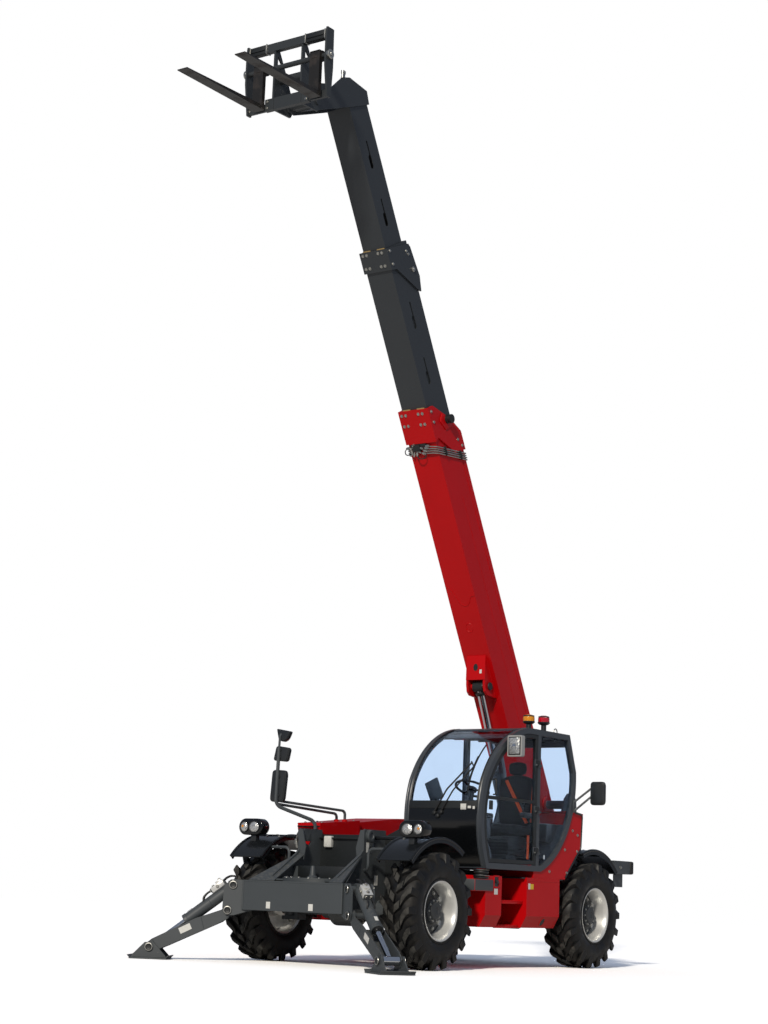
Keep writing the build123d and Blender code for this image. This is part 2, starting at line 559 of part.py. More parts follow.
def wear_pads(end, depth, width, low, height, inner_width, inner_low_z, inner_height, set_back=0.0):
    """Sliding blocks between two sections; the top one sits back where the mouth slants."""
    x0, x1 = end - depth, end - 2
    side, top = width / 2 + 1, low + height + 1
    pads = []
    for y0, y1 in ((inner_width / 2 + FACE_GAP, side), (-side, -inner_width / 2 - FACE_GAP)):
        pads.append(block(x0 - set_back / 2, x1 - set_back / 2, y0, y1, inner_low_z + 40,
                          inner_low_z + inner_height - 130))
    pads.append(block(x0, x1, -90, 90, low - 1, inner_low_z - FACE_GAP))
    pads.append(block(x0 - set_back, x1 - set_back, -90, 90, inner_low_z + inner_height + FACE_GAP, top))
    return pads


def collar(side, end, length, width, low, height, back):
    """Band round a section's mouth: slanted side plates, a plate underneath and one on the back."""
    half, high = width / 2, low + height
    outline = polygon(*[(end + ahead, low + up) for ahead, up in side])
    plates = [prism_y(outline, half - 1, half + COLLAR_WALL),
              prism_y(outline, -half - COLLAR_WALL, -half + 1),
              block(end - length, end, -half - COLLAR_WALL, half + COLLAR_WALL, low - COLLAR_WALL, low + 1),
              block(end + back[0], end + back[1], -half - 1, half + 1, high - 1, high + COLLAR_WALL)]
    return plates


def boom_outer():
    tube = hollow(BOOM_TAIL, OUTER_END, OUTER_WIDTH, outer_low, OUTER_HEIGHT, OUTER_WALL)
    tail = block(BOOM_TAIL - 2, BOOM_TAIL + 14, -OUTER_WIDTH / 2, OUTER_WIDTH / 2,
                 outer_low, outer_low + OUTER_HEIGHT)
    boss = rod_y(95, -OUTER_WIDTH / 2 - 20, OUTER_WIDTH / 2 + 20, 0, 0)
    pads = wear_pads(OUTER_END, 120, OUTER_WIDTH - 2 * OUTER_WALL, outer_low + OUTER_WALL,
                     OUTER_HEIGHT - 2 * OUTER_WALL, MIDDLE_WIDTH, middle_low, MIDDLE_HEIGHT, MOUTH_SET_BACK)
    lug_u, lug_w = LIFT_LUG_PIN[0], outer_low + LIFT_LUG_PIN[1]
    cheek = polygon((lug_u - 200, outer_low + 5), (lug_u - 75, lug_w - 75), (lug_u - 20, lug_w - 95),
                    (lug_u + 60, lug_w - 70), (lug_u + 360, outer_low + 5))
    cheeks = [prism_y(cheek, 100, 130), prism_y(cheek, -130, -100)]
    front = slab([(lug_u + 105, -129, lug_w - 45), (lug_u + 105, 129, lug_w - 45),
                  (lug_u + 350, 129, outer_low - 2), (lug_u + 350, -129, outer_low - 2)], 14)
    stubs = [rod_y(LIFT_PIN_RADIUS, 75, 140, lug_u, lug_w),
             rod_y(LIFT_PIN_RADIUS, -140, -75, lug_u, lug_w)]
    outer_high = outer_low + OUTER_HEIGHT
    band = collar(OUTER_COLLAR_SIDE, OUTER_END, OUTER_COLLAR, OUTER_WIDTH, outer_low, OUTER_HEIGHT,
                  OUTER_BACK_PLATE)
    eyes = [prism_y(Location((u, outer_high + 22)) * (Circle(34) - Circle(16)), -12, 12)
            + block(u - 34, u + 34, -12, 12, outer_high - 2, outer_high + 8) for u in LIFTING_EYES]
    slant = [(OUTER_END + ahead, outer_low + up) for ahead, up in OUTER_COLLAR_SIDE[1:4]]
    beyond, above = OUTER_END + 50, outer_high + 250
    mouth = prism_y(polygon(*slant, (slant[-1][0], above), (beyond, above), (beyond, slant[0][1])),
                    -OUTER_WIDTH, OUTER_WIDTH)
    shape = fuse(tube, tail, boss, *band, *eyes, *cheeks, front, *stubs) - mouth
    shape = fuse(shape, *pads)
    return shape - rod_y(BOOM_PIN_RADIUS + RUNNING_CLEARANCE, -400, 400, 0, 0)


def slots(width, low, height, places):
    """Holes through both side walls: a long oval with a narrow slit that runs on from its end."""
    cuts = []
    for u in places:
        w = low + height * 0.43
        cuts.append(prism_y(Location((u, w)) * SlotOverall(155, 58), -width, width))
        cuts.append(prism_y(Location((u + 130, w + 12)) * SlotOverall(210, 24), -width, width))
    return cuts


def boom_middle():
    tube = hollow(MIDDLE_START, MIDDLE_END, MIDDLE_WIDTH, middle_low, MIDDLE_HEIGHT, MIDDLE_WALL)
    pads = wear_pads(MIDDLE_END, 120, MIDDLE_WIDTH - 2 * MIDDLE_WALL, middle_low + MIDDLE_WALL,
                     MIDDLE_HEIGHT - 2 * MIDDLE_WALL, INNER_WIDTH, inner_low, INNER_HEIGHT)
    band = collar(MIDDLE_COLLAR_SIDE, MIDDLE_END, MIDDLE_COLLAR, MIDDLE_WIDTH, middle_low, MIDDLE_HEIGHT,
                  MIDDLE_BACK_PLATE)
    shape = fuse(tube, *band, *pads)
    for cut in slots(MIDDLE_WIDTH, middle_low, MIDDLE_HEIGHT, [MIDDLE_END + at for at in MIDDLE_SLOTS]):
        shape -= cut
    return shape


# Head of the inner boom, in (x, z) from the tilt pin: cheek plates that reach out to the pin, and
# the web between them.
HEAD_SIDE = [(-914, 465), (-965, 327), (-618, 175), (-320, 50), (-60, -57), (45, -55),
             (60, 25), (-20, 95), (-210, 215), (-460, 460), (-590, 505)]
HEAD_WEB = [(-680, 295), (-530, 175), (-80, -20), (-80, 55), (-380, 235), (-550, 395)]


def boom_inner():
    tube = hollow(INNER_START, INNER_END, INNER_WIDTH, inner_low, INNER_HEIGHT, INNER_WALL)
    for cut in slots(INNER_WIDTH, inner_low, INNER_HEIGHT, [INNER_END + at for at in INNER_SLOTS]):
        tube -= cut
    tube = tube.moved(BOOM)
    half = INNER_WIDTH / 2
    side, middle = [polygon(*[(TILT_X + x, TILT_Z + z) for x, z in points])
                    for points in (HEAD_SIDE, HEAD_WEB)]
    cheeks = [prism_y(side, BOOM_Y + half, BOOM_Y + half + HEAD_PLATE),
              prism_y(side, BOOM_Y - half - HEAD_PLATE, BOOM_Y - half)]
    web = prism_y(middle, BOOM_Y - half - 2, BOOM_Y + half + 2)
    pin = rod_y(TILT_PIN_RADIUS, BOOM_Y - half - 60, BOOM_Y + half + 60, TILT_X, TILT_Z)
    return fuse(tube, *cheeks, web, pin)


save("boom_outer", boom_outer().moved(BOOM))
save("boom_middle", boom_middle().moved(BOOM))
save("boom_inner", boom_inner())

# Lift cylinder, in the machine's (x, z), in the boom's centre plane.
lug_pin = (PIVOT_X + LIFT_LUG_PIN[0] * cos(lean) - (outer_low + LIFT_LUG_PIN[1]) * sin(lean),
           PIVOT_Z + LIFT_LUG_PIN[0] * sin(lean) + (outer_low + LIFT_LUG_PIN[1]) * cos(lean))
lift_way = (lug_pin[0] - LIFT_FOOT[0], lug_pin[1] - LIFT_FOOT[1])
lift_length = hypot(*lift_way)


def lift_bar(radius, near, far):
    a = along(LIFT_FOOT, lift_way, near, 0)
    b = along(LIFT_FOOT, lift_way, far, 0)
    return rod_between(radius, (a[0], BOOM_Y, a[1]), (b[0], BOOM_Y, b[1]))


lift_barrel = (rod_y(85, BOOM_Y - 60, BOOM_Y + 60, *LIFT_FOOT)
               + lift_bar(LIFT_BORE_RADIUS, 60, LIFT_BARREL_LENGTH)
               - lift_bar(LIFT_BORE_RADIUS - 15, 150, LIFT_BARREL_LENGTH - LIFT_GLAND)
               - lift_bar(LIFT_ROD_RADIUS + RUNNING_CLEARANCE, 140, LIFT_BARREL_LENGTH + 10)
               - rod_y(LIFT_PIN_RADIUS + RUNNING_CLEARANCE, -400, 400, *LIFT_FOOT))
piston_at = LIFT_BARREL_LENGTH - LIFT_OVERLAP
lift_rod = (lift_bar(LIFT_ROD_RADIUS, piston_at, lift_length - 40)
            + lift_bar(LIFT_BORE_RADIUS - 15 - RUNNING_CLEARANCE, piston_at, piston_at + LIFT_PISTON)
            + rod_y(LIFT_EYE_RADIUS, BOOM_Y - 70, BOOM_Y + 70, *lug_pin))
save("lift_barrel", lift_barrel)
save("lift_rod", lift_rod)


# ---- fork carriage ------------------------------------------------------------------------
def carriage():
    back = CARRIAGE_FRONT_X - 60
    left, right = BOOM_Y + CARRIAGE_HALF, BOOM_Y - CARRIAGE_HALF
    parts = [block(back, CARRIAGE_FRONT_X, right, left, CARRIAGE_TOP - 90, CARRIAGE_TOP)]
    end_plate = polygon((back - 20, CARRIAGE_TOP + 10), (CARRIAGE_FRONT_X + 30, CARRIAGE_TOP + 10),
                        (CARRIAGE_FRONT_X + 40, CARRIAGE_TOP - 60), (CARRIAGE_FRONT_X + 40, SHAFT_Z - 120),
                        (CARRIAGE_FRONT_X - 10, CARRIAGE_BOTTOM), (back - 10, CARRIAGE_BOTTOM),
                        (back - 30, SHAFT_Z - 120))
    parts += [prism_y(end_plate, left - 22, left), prism_y(end_plate, right, right + 22)]
    cheek = polygon((back + 20, CARRIAGE_TOP - 5), (CARRIAGE_FRONT_X - 5, CARRIAGE_TOP - 5),
                    (CARRIAGE_FRONT_X - 5, CARRIAGE_BOTTOM), (TILT_X - 20, CARRIAGE_BOTTOM + 10),
                    (TILT_X - 75, TILT_Z), (TILT_X - 60, TILT_Z + 60), (TILT_X + 90, SHAFT_Z))
    hole = polygon((back + 10, CARRIAGE_TOP - 130), (back + 10, SHAFT_Z + 60), (back - 90, SHAFT_Z + 60))
    inner = INNER_WIDTH / 2 + 22
    for y0, y1 in ((BOOM_Y + inner, BOOM_Y + inner + 22), (BOOM_Y - inner - 22, BOOM_Y - inner)):
        parts.append(prism_y(cheek, y0, y1) - prism_y(hole, y0 - 5, y1 + 5))
    parts.append(block(back, CARRIAGE_FRONT_X - 10, right + 250, left - 250, CARRIAGE_BOTTOM,
                       CARRIAGE_BOTTOM + 130))
    parts.append(block(back, CARRIAGE_FRONT_X - 30, right + 10, left - 10, CARRIAGE_BOTTOM + 10,
                       CARRIAGE_BOTTOM + 90))
    parts.append(rod_y(SHAFT_RADIUS, right - 25, left + 25, CARRIAGE_FRONT_X - 10, SHAFT_Z))
    parts.append(rod_y(45, BOOM_Y - inner, BOOM_Y + inner, back - 60, SHAFT_Z - 100))
    return fuse(*parts) - rod_y(TILT_PIN_RADIUS + RUNNING_CLEARANCE, -500, 500, TILT_X, TILT_Z)


def fork(y):
    """One fork: an eye on the shaft, a shank and a tapered blade."""
    heel = CARRIAGE_FRONT_X + 2
    low = CARRIAGE_BOTTOM + 8
    blade = polygon((heel, low), (heel + FORK_LENGTH, low + 8), (heel + FORK_LENGTH, low + 18),
                    (heel + FORK_THICK, low + FORK_THICK), (heel + FORK_THICK, SHAFT_Z + 50),
                    (heel, SHAFT_Z + 50))
    shape = prism_y(blade, y - FORK_WIDTH / 2, y + FORK_WIDTH / 2)
    shape += rod_y(58, y - FORK_WIDTH / 2, y + FORK_WIDTH / 2, CARRIAGE_FRONT_X - 10, SHAFT_Z)
    return shape - rod_y(SHAFT_RADIUS + RUNNING_CLEARANCE, y - 100, y + 100, CARRIAGE_FRONT_X - 10, SHAFT_Z)


save("fork_carriage", carriage())
save("forks", [fork(BOOM_Y + offset_y) for offset_y in FORK_PLACES])


# ---- cab ----------------------------------------------------------------------------------
def cab_outline(inset=0.0):
    """Side view of the cab in (x, z): upright sill, round nose, flat roof, tapering back."""
    nose = ThreePointArc((-230, CAB_FLOOR_Z), (-100, 1560), (-170, 1940))
    brow = ThreePointArc((-170, 1940), (-480, 2330), (-1030, CAB_ROOF_Z))
    edges = [nose, brow, Line((-1030, CAB_ROOF_Z), (-1900, CAB_ROOF_Z - 5)),
             Line((-1900, CAB_ROOF_Z - 5), (CAB_REAR_X, 2150)),
             ThreePointArc((CAB_REAR_X, 2150), (-1870, 1440), (-1330, CAB_FLOOR_Z)),
             Line((-1330, CAB_FLOOR_Z), (-230, CAB_FLOOR_Z))]
    face = make_face(edges)
    return offset(face, -inset, kind=Kind.INTERSECTION) if inset else face


ring_inset = CAB_RING_WIDE
outer_face, inner_face = cab_outline(), cab_outline(ring_inset)
whole = prism_y(outer_face, CAB_RIGHT_Y, CAB_LEFT_Y)
interior = prism_y(inner_face, CAB_RIGHT_Y - 5, CAB_LEFT_Y + 5)
left_ring_y = CAB_LEFT_Y - CAB_RING_THICK
right_ring_y = CAB_RIGHT_Y + CAB_RING_THICK


HINGE_PIN = 7.0
hinge_x, hinge_y = PILLAR_X + PILLAR_WIDE / 2 + 3, CAB_LEFT_Y + 16


def cab_frame():
    """Two side rings, floor, roof rails, rear posts and the transom under the windscreen."""
    rings = [prism_y(outer_face, y0, y0 + CAB_RING_THICK) - interior for y0 in (CAB_RIGHT_Y, left_ring_y)]
    band = prism_y(outer_face, CAB_RIGHT_Y + 5, CAB_LEFT_Y - 5) - interior
    keep = [                    # (rear x, front x, low z, high z) of what stays of the band: floor, lower
        (-1340, -200, CAB_FLOOR_Z, CAB_FLOOR_Z + CAB_FLOOR_THICK),      # front, transom, rail, lower back
        (-300, 0, CAB_FLOOR_Z, SILL_Z - 150),
        (-400, 0, SILL_Z - 60, SILL_Z),
        (CAB_REAR_X - 45, ROOF_REAR_X, CAB_HEADER_Z, CAB_ROOF_Z),
        (CAB_REAR_X - 5, -1500, CAB_FLOOR_Z, CAB_WAIST_Z),
    ]
    pieces = [band & block(x0, x1, CAB_RIGHT_Y, CAB_LEFT_Y, z0, z1) for x0, x1, z0, z1 in keep]
    pillar = [block(PILLAR_X - PILLAR_WIDE / 2, PILLAR_X + PILLAR_WIDE / 2, y0, y0 + CAB_RING_THICK,
                    CAB_FLOOR_Z + 20, CAB_ROOF_Z - 30) for y0 in (CAB_RIGHT_Y, left_ring_y)]
    lugs = [fuse(block(hinge_x - 45, hinge_x, CAB_LEFT_Y - 1, hinge_y + 12, z - 40, z - 14),
                 rod_z(HINGE_PIN, z - 40, z + 36, hinge_x, hinge_y)) for z in DOOR_HINGES_Z]
    floor = block(-1330, -260, CAB_RIGHT_Y + 10, CAB_LEFT_Y - 10, CAB_FLOOR_Z, CAB_FLOOR_Z + CAB_FLOOR_THICK)
    return fuse(*rings, *pieces, *pillar, *lugs, floor)


cab_skin = prism_y(outer_face, right_ring_y + FACE_GAP, left_ring_y - FACE_GAP) - prism_y(
    cab_outline(25), right_ring_y - 5, left_ring_y + 5)
frame_solid = cab_frame()
save("cab_frame", frame_solid)
roof = cab_skin & block(ROOF_REAR_X + FACE_GAP, ROOF_FRONT_X, CAB_RIGHT_Y, CAB_LEFT_Y, CAB_HEADER_Z - 20,
                        CAB_ROOF_Z + BEYOND)
save("cab_roof", roof)


def pane(x0, x1, z0, z1):
    """Bent glass of the cab's skin, cut to a window between two heights and two lengths."""
    glass = prism_y(cab_outline(8), right_ring_y + FACE_GAP, left_ring_y - FACE_GAP) - prism_y(
        cab_outline(8 + GLASS), right_ring_y, left_ring_y)
    return glass & block(x0, x1, CAB_RIGHT_Y, CAB_LEFT_Y, z0, z1)


def side_glass(y0, x0, x1, z0, z1, inset):
    """Flat glass inside a side ring, between the pillar and the ring."""
    return (prism_y(cab_outline(inset), y0, y0 + GLASS)
            & block(x0, x1, 0, CAB_LEFT_Y + BEYOND, z0, z1))


cab_back, cab_above = CAB_REAR_X - BEYOND, CAB_ROOF_Z + BEYOND
behind_pillar = PILLAR_X - PILLAR_WIDE / 2 - FACE_GAP
ahead_of_pillar = PILLAR_X + PILLAR_WIDE / 2 + FACE_GAP
glass_inset = CAB_RING_WIDE + FACE_GAP
windscreen = pane(ROOF_FRONT_X + FACE_GAP, 0, SILL_Z + FACE_GAP, cab_above)
rear_glass = pane(cab_back, ROOF_REAR_X + 70, CAB_WAIST_Z + FACE_GAP, CAB_HEADER_Z - FACE_GAP)
quarter = side_glass(left_ring_y + 25, cab_back, behind_pillar, CAB_FLOOR_Z, cab_above, glass_inset)
right_rear = side_glass(CAB_RIGHT_Y + 25, cab_back, behind_pillar, CAB_WAIST_Z, cab_above, glass_inset)
right_front = side_glass(CAB_RIGHT_Y + 25, ahead_of_pillar, 0, CAB_WAIST_Z, cab_above, glass_inset)
save("cab_windows", windscreen, rear_glass, quarter, right_rear, right_front)

right_panel = [side_glass(CAB_RIGHT_Y + 20, x0, x1, CAB_FLOOR_Z, CAB_WAIST_Z - FACE_GAP, glass_inset)
               for x0, x1 in ((cab_back, behind_pillar), (ahead_of_pillar, 0))]
save("cab_right_panels", right_panel)

door_face = cab_outline(CAB_RING_WIDE + DOOR_GAP)
door_x0 = PILLAR_X + PILLAR_WIDE / 2 + DOOR_GAP
door_y0, door_y1 = CAB_LEFT_Y - 42, CAB_LEFT_Y - 2
door_solid = (prism_y(door_face, door_y0, door_y1)
              & block(door_x0, 0, 0, CAB_LEFT_Y, CAB_FLOOR_Z, cab_above))
opening = (prism_y(cab_outline(CAB_RING_WIDE + DOOR_GAP + DOOR_RAIL), door_y0 - 5, door_y1 + 5)
           & block(door_x0 + DOOR_RAIL, 0, 0, CAB_LEFT_Y + BEYOND, CAB_FLOOR_Z, cab_above))
bar_low, bar_high = SILL_Z + 30, SILL_Z + 65
bar = block(door_x0, 0, door_y0, door_y1, bar_low, bar_high)
door_frame = (door_solid - opening) + (bar & door_solid)
for z in DOOR_HINGES_Z:
    low, high = z - 14 + FACE_GAP, z + 30
    door_frame += fuse(rod_z(13, low, high, hinge_x, hinge_y),
                       block(hinge_x, hinge_x + 60, door_y1 - 1, hinge_y + 6, low, high))
    door_frame -= rod_z(HINGE_PIN + RUNNING_CLEARANCE, low - 5, high + 10, hinge_x, hinge_y)
save("cab_door", door_frame)
rest = opening - block(door_x0, 0, 0, CAB_LEFT_Y + BEYOND, bar_low, bar_high)
panes = rest & block(door_x0, 0, door_y0 + 16, door_y0 + 16 + GLASS, 0, cab_above)
save("door_glass", panes)

cab_deck = CAB_FLOOR_Z + CAB_FLOOR_THICK
seat = fuse(block(-1560, -1080, 430, 920, 1400, 1540), block(-1620, -1480, 440, 910, 1500, 2090),
            block(-1325, -1100, 520, 830, cab_deck, 1200), block(-1480, -1110, 500, 850, 1195, 1405),
            block(-1600, -1520, 560, 790, 2080, 2230))
save("operator_seat", seat)
console = fuse(block(-420, -270, 240, 1060, 1330, 1560),
               block(-560, -400, 600, 760, cab_deck, 1500),
               rod_between(35, (-500, 680, 1450), (-640, 680, 1760)),
               rod_between(185, (-640, 680, 1755), (-652, 680, 1782)))
save("steering_console", console)

# ---- panels, tanks and fittings ------------------------------------------------------------
SKIN = 12.0                     # wall of the hollow tanks and covers
BOX_REAR_X = -1752.0            # rear ends of the tank and the engine bay, clear of the steered tyres
BOX_BOTTOM = 430.0
TANK_TOP = 960.0


BOX_BEND = 70.0                 # how far the lower edge leans in


def box_profile(outer_y, inset):
    """Section of a side box in (y, z), its lower outer edge bent inwards."""
    low, outer = BOX_BOTTOM + inset, outer_y - inset
    return polygon((FRAME_HALF - inset / 2, low), (outer - BOX_BEND, low), (outer, low + 1.8 * BOX_BEND),
                   (outer, TANK_TOP - inset), (FRAME_HALF - inset / 2, TANK_TOP - inset))


def open_box(x0, x1, outer_y):
    """Hollow box beside the frame, open on the side that stands against it."""
    return (prism_x(box_profile(outer_y, 0), x0, x1)
            - prism_x(box_profile(outer_y, SKIN), x0 + SKIN, x1 - SKIN))


tank = open_box(BOX_REAR_X, -1060, 1130)
post = open_box(-600, -280, 1100)
step = (block(-1062, -598, FRAME_HALF, 1030, 430, 450)
        + block(-1062, -598, 788, 800, 440, 960))
tread = block(-1062, -598, 790, 1080, 690, 705)
mount_pad = block(-420, -60, FRAME_HALF, 1110, 800, 920) + rod_z(55, 918, CAB_FLOOR_Z, -300, 1030)
save("side_tank", fuse(tank, post, step, tread, mount_pad))

panel_y0, panel_y1 = FRAME_HALF + 20, 1125
panel_low = TANK_TOP + FACE_GAP
panel_points = [(-2040, 1716), (-2254, 1697), (-2228, 1298), (-2150, 1236), (-1870, panel_low),
                (-1200, panel_low), (-1200, CAB_FLOOR_Z - 3)]
panel_points_inner = [(-1990, 1704), (-2241, 1686), (-2215, 1303), (-2142, 1246), (-1865, panel_low + SKIN),
                      (-1300, panel_low + SKIN), (-1300, CAB_FLOOR_Z)]
cab_back_panel = prism_y(polygon(*panel_points), panel_y0, panel_y1) - prism_y(outer_face, 0, 1300)
cab_back_panel -= (prism_y(polygon(*panel_points_inner), panel_y0 - 5, panel_y1 - SKIN)
                   - prism_y(cab_outline(-SKIN), 0, 1300))
cab_back_panel = sorted(cab_back_panel.solids(), key=lambda s: -s.volume)[0]
save("cab_back_panel", cab_back_panel)

HOUSING_TOP = 1222.0
hood_low = HOUSING_TOP + FACE_GAP
hood_side = [(-2150, hood_low), (-120, hood_low), (-120, 1480), (-900, 1560), (-2150, 1610)]
hood_end = [(-1160, hood_low), (-1160, 1420), (-1100, 1530), (-900, 1640), (-470, 1640),
            (-470, hood_low)]
hood_side_inner = [(-2130, 1200), (-140, 1200), (-140, 1462), (-900, 1542), (-2130, 1592)]
hood_end_inner = [(-1140, 1200), (-1140, 1412), (-1086, 1514), (-896, 1620), (-490, 1620), (-490, 1200)]
hood_outer = prism_y(polygon(*hood_side), -1200, -400) & prism_x(polygon(*hood_end), -2200, 0)
hood_inner = (prism_y(polygon(*hood_side_inner), -1200, -400)
              & prism_x(polygon(*hood_end_inner), -2200, 0))
knuckles = [rod_x(HOOD_PIN_RADIUS + 9, x + 16, x + 76, HOOD_HINGE_Y, HOOD_HINGE_Z)
            + block(x + 16, x + 76, HOOD_HINGE_Y - 22, HOOD_HINGE_Y - 6, HOOD_HINGE_Z - 16, HOOD_HINGE_Z + 4)
            for x in HOOD_HINGES_X]
hood = fuse(hood_outer - hood_inner, *knuckles)
for x in HOOD_HINGES_X:
    hood -= rod_x(HOOD_PIN_RADIUS + RUNNING_CLEARANCE, x, x + 90, HOOD_HINGE_Y, HOOD_HINGE_Z)
save("engine_hood", hood)

bay = (block(BOX_REAR_X, -130, -1150, -FRAME_HALF, BOX_BOTTOM, HOUSING_TOP)
       - block(BOX_REAR_X + 15, -145, -1135, -FRAME_HALF + 5, BOX_BOTTOM + 15, 1300))
LOUVRE_PITCH, LOUVRE_SLOT = 44.0, 26.0
for x0, x1 in ((-1600, -1150), (-1050, -600)):
    for n in range(9):
        low = 640 + n * LOUVRE_PITCH
        bay -= block(x0, x1, -1160, -1130, low, low + LOUVRE_SLOT)
save("engine_housing", bay)
save("engine_block", fuse(block(-1500, -560, -1040, -520, 560, 1140),
                          block(-1450, -620, -960, -900, 445, 562),
                          block(-1450, -620, -640, -580, 445, 562)))

cowl_side = polygon((-110, 1180), (540, 1180), (600, 1400), (600, 1440), (-110, 1500))
cowl_inside = polygon((-95, 1170), (530, 1170), (585, 1395), (585, 1424), (-95, 1484))
cowl = (prism_y(cowl_side, -720, -FRAME_HALF - FACE_GAP) - prism_y(cowl_inside, -705, -FRAME_HALF - 14)
        + rod_z(28, 1470, 1500, 130, -450) + rod_z(28, 1470, 1500, 130, -560))
save("front_cowl", cowl)




def fender(axle_x, start, stop, stay):
    """Curved mudguard between two angles about the axle, on a stay from the frame at a third."""
    y0, y1 = FENDER_INNER_Y, FENDER_OUTER_Y
    outer, inner, z = FENDER_RADIUS, FENDER_RADIUS - FENDER_THICK, TYRE_RADIUS
    a, m, b = (radians(v) for v in (start, (start + stop) / 2, stop))
    pts = [[(axle_x + r * cos(v), z + r * sin(v)) for v in (a, m, b)] for r in (outer, inner)]
    face = make_face([ThreePointArc(*pts[0]), Line(pts[0][2], pts[1][2]), ThreePointArc(*pts[1]),
                      Line(pts[1][0], pts[0][0])])
    lip = [[(axle_x + r * cos(v), z + r * sin(v)) for v in (a, m, b)] for r in (outer, outer - FENDER_LIP)]
    lip_face = make_face([ThreePointArc(*lip[0]), Line(lip[0][2], lip[1][2]), ThreePointArc(*lip[1]),
                          Line(lip[1][0], lip[0][0])])
    stay_r, angle = outer - FENDER_THICK / 2, radians(stay)
    return fuse(prism_y(face, y0, y1), prism_y(lip_face, y0, y0 + FENDER_LIP_THICK),
                prism_y(lip_face, y1 - FENDER_LIP_THICK, y1),
                rod_y(18, FRAME_HALF, y1 - 60, axle_x + stay_r * cos(angle), z + stay_r * sin(angle)))


stay_hole = rod_y(STAY_RADIUS + FACE_GAP, FENDER_INNER_Y - 5, 905, stay_x, stay_z)
save("fenders", both_sides(fender(FRONT_AXLE_X, 42, 125, 80) - stay_hole),
     both_sides(fender(REAR_AXLE_X, 68, 137, 110)))

lamp = prism_x(Location((0, 0)) * SlotOverall(250, 130), 900, 1010).moved(Location((0, 1010, 1385)))
lamp_foot = block(925, 975, 980, 1040, 1200, 1330) - rod_y(FENDER_RADIUS, 900, 1100, FRONT_AXLE_X,
                                                           TYRE_RADIUS)
save("head_lamps", both_sides(lamp + lamp_foot))

bumper = block(BUMPER_REAR_X, BUMPER_REAR_X + 60, -BUMPER_HALF, BUMPER_HALF, 1060, 1210)
end = block(BUMPER_REAR_X, BUMPER_REAR_X + 415, BUMPER_HALF - 60, BUMPER_HALF, 1060, 1210)
bracket = block(BUMPER_REAR_X + 150, BUMPER_REAR_X + 360, BUMPER_HALF - 50, BUMPER_HALF - 38, 910, 1070)
save("rear_bumper", fuse(bumper, *both_sides(end), *both_sides(bracket)))

save("tail_lamps", both_sides(fuse(
    block(BUMPER_REAR_X - 26, BUMPER_REAR_X - FACE_GAP, BUMPER_HALF - 300, BUMPER_HALF - 30, 1085, 1185),
    block(BUMPER_REAR_X - 29, BUMPER_REAR_X - 26, BUMPER_HALF - 290, BUMPER_HALF - 40, 1095, 1175))))

WORK_LAMP = (-575.0, 1250.0, 2325.0)    # middle of its case, held by an arm from the door's top rail
lamp_x, lamp_y, lamp_z = WORK_LAMP
lamp_case = block(lamp_x - 30, lamp_x + 30, lamp_y - 90, lamp_y + 90, lamp_z - 112, lamp_z + 112)
lamp_case = fillet(lamp_case.edges().filter_by(Axis.X), 18)
arm_x = lamp_x - 125
door_top = door_frame & block(arm_x - 1, arm_x + 1, 0, CAB_LEFT_Y, SILL_Z, CAB_ROOF_Z)
arm_z = door_top.bounding_box().max.Z - 20
save("work_lamp", fuse(lamp_case, rod_y(11, CAB_LEFT_Y - 2 + FACE_GAP, lamp_y - 50, arm_x, arm_z),
                       bent_tube(11, 30, (arm_x, lamp_y - 60, arm_z), (lamp_x - 20, lamp_y - 60, arm_z))))

HITCH_BORE_RADIUS = 17.0        # upright hole for the drawbar pin
hitch_x = BUMPER_REAR_X + 10
hitch = fuse(block(BUMPER_REAR_X + 40, BUMPER_REAR_X + 59.5, -110, 110, 740, 980),
             block(hitch_x - 40, BUMPER_REAR_X + 45, -70, 70, 790, 815),
             block(hitch_x - 40, BUMPER_REAR_X + 45, -70, 70, 895, 920))
hitch -= rod_z(HITCH_BORE_RADIUS, 700, 1000, hitch_x, 0)
save("rear_hitch", hitch)


def mirror_head(x0, x1, y0, y1, z0, z1):
    """Moulded housing with rounded corners and a softened rim."""
    head = block(x0, x1, y0, y1, z0, z1)
    head = fillet(head.edges().filter_by(Axis.X), min(y1 - y0, z1 - z0) / 4)
    return fillet(head.edges().group_by(Axis.X)[-1], min(x1 - x0, 40) / 4)


mast_heads = [                  # (low y, high y, low z, high z) of the two mirrors on the mast
    (-800, -640, 1640, 1980),
    (-790, -655, 2090, 2225),
]
mast_top = (1000, -702, 2350)
mast = fuse(bent_tube(19, 60, (700, -409, UPRIGHT_TOP), (700, -409, 1450), (1000, -715, 1600), mast_top),
            bent_tube(15, 40, (130, -450, 1500), (130, -450, 1590), (985, -712, 1650)),
            bent_tube(15, 40, (130, -560, 1500), (130, -560, 1560), (985, -700, 1615)),
            *[mirror_head(985, 1030, *sizes) for sizes in mast_heads],
            prism_x(polygon((-765, 2375), (-640, 2350), (-665, 2290), (-715, 2270), (-755, 2300)), 965, 1035))
side_mirror = fuse(block(-2030, -1990, CAB_LEFT_Y, CAB_LEFT_Y + 14, 1700, 1840),
                   bent_tube(9, 0, (-2010, CAB_LEFT_Y + 10, 1820), (-2110, 1330, 1990)),
                   bent_tube(9, 0, (-2010, CAB_LEFT_Y + 10, 1720), (-2110, 1330, 1900)),
                   mirror_head(-2140, -2090, 1300, 1480, 1790, 2050))
save("mirrors", mast, side_mirror)

save("roof_beacons", [rod_z(30, CAB_ROOF_Z - 15, 2690, x, y) + rod_z(62, 2690, 2765, x, y) - whole
                      for x, y in ((-1700, 720), (-1860, 820))])
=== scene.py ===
"""Looks of the telehandler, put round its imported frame: metres, +X forward, +Y left, +Z up."""
import json
import bpy
from math import cos, hypot, pi, radians, sin
from mathutils import Matrix, Vector


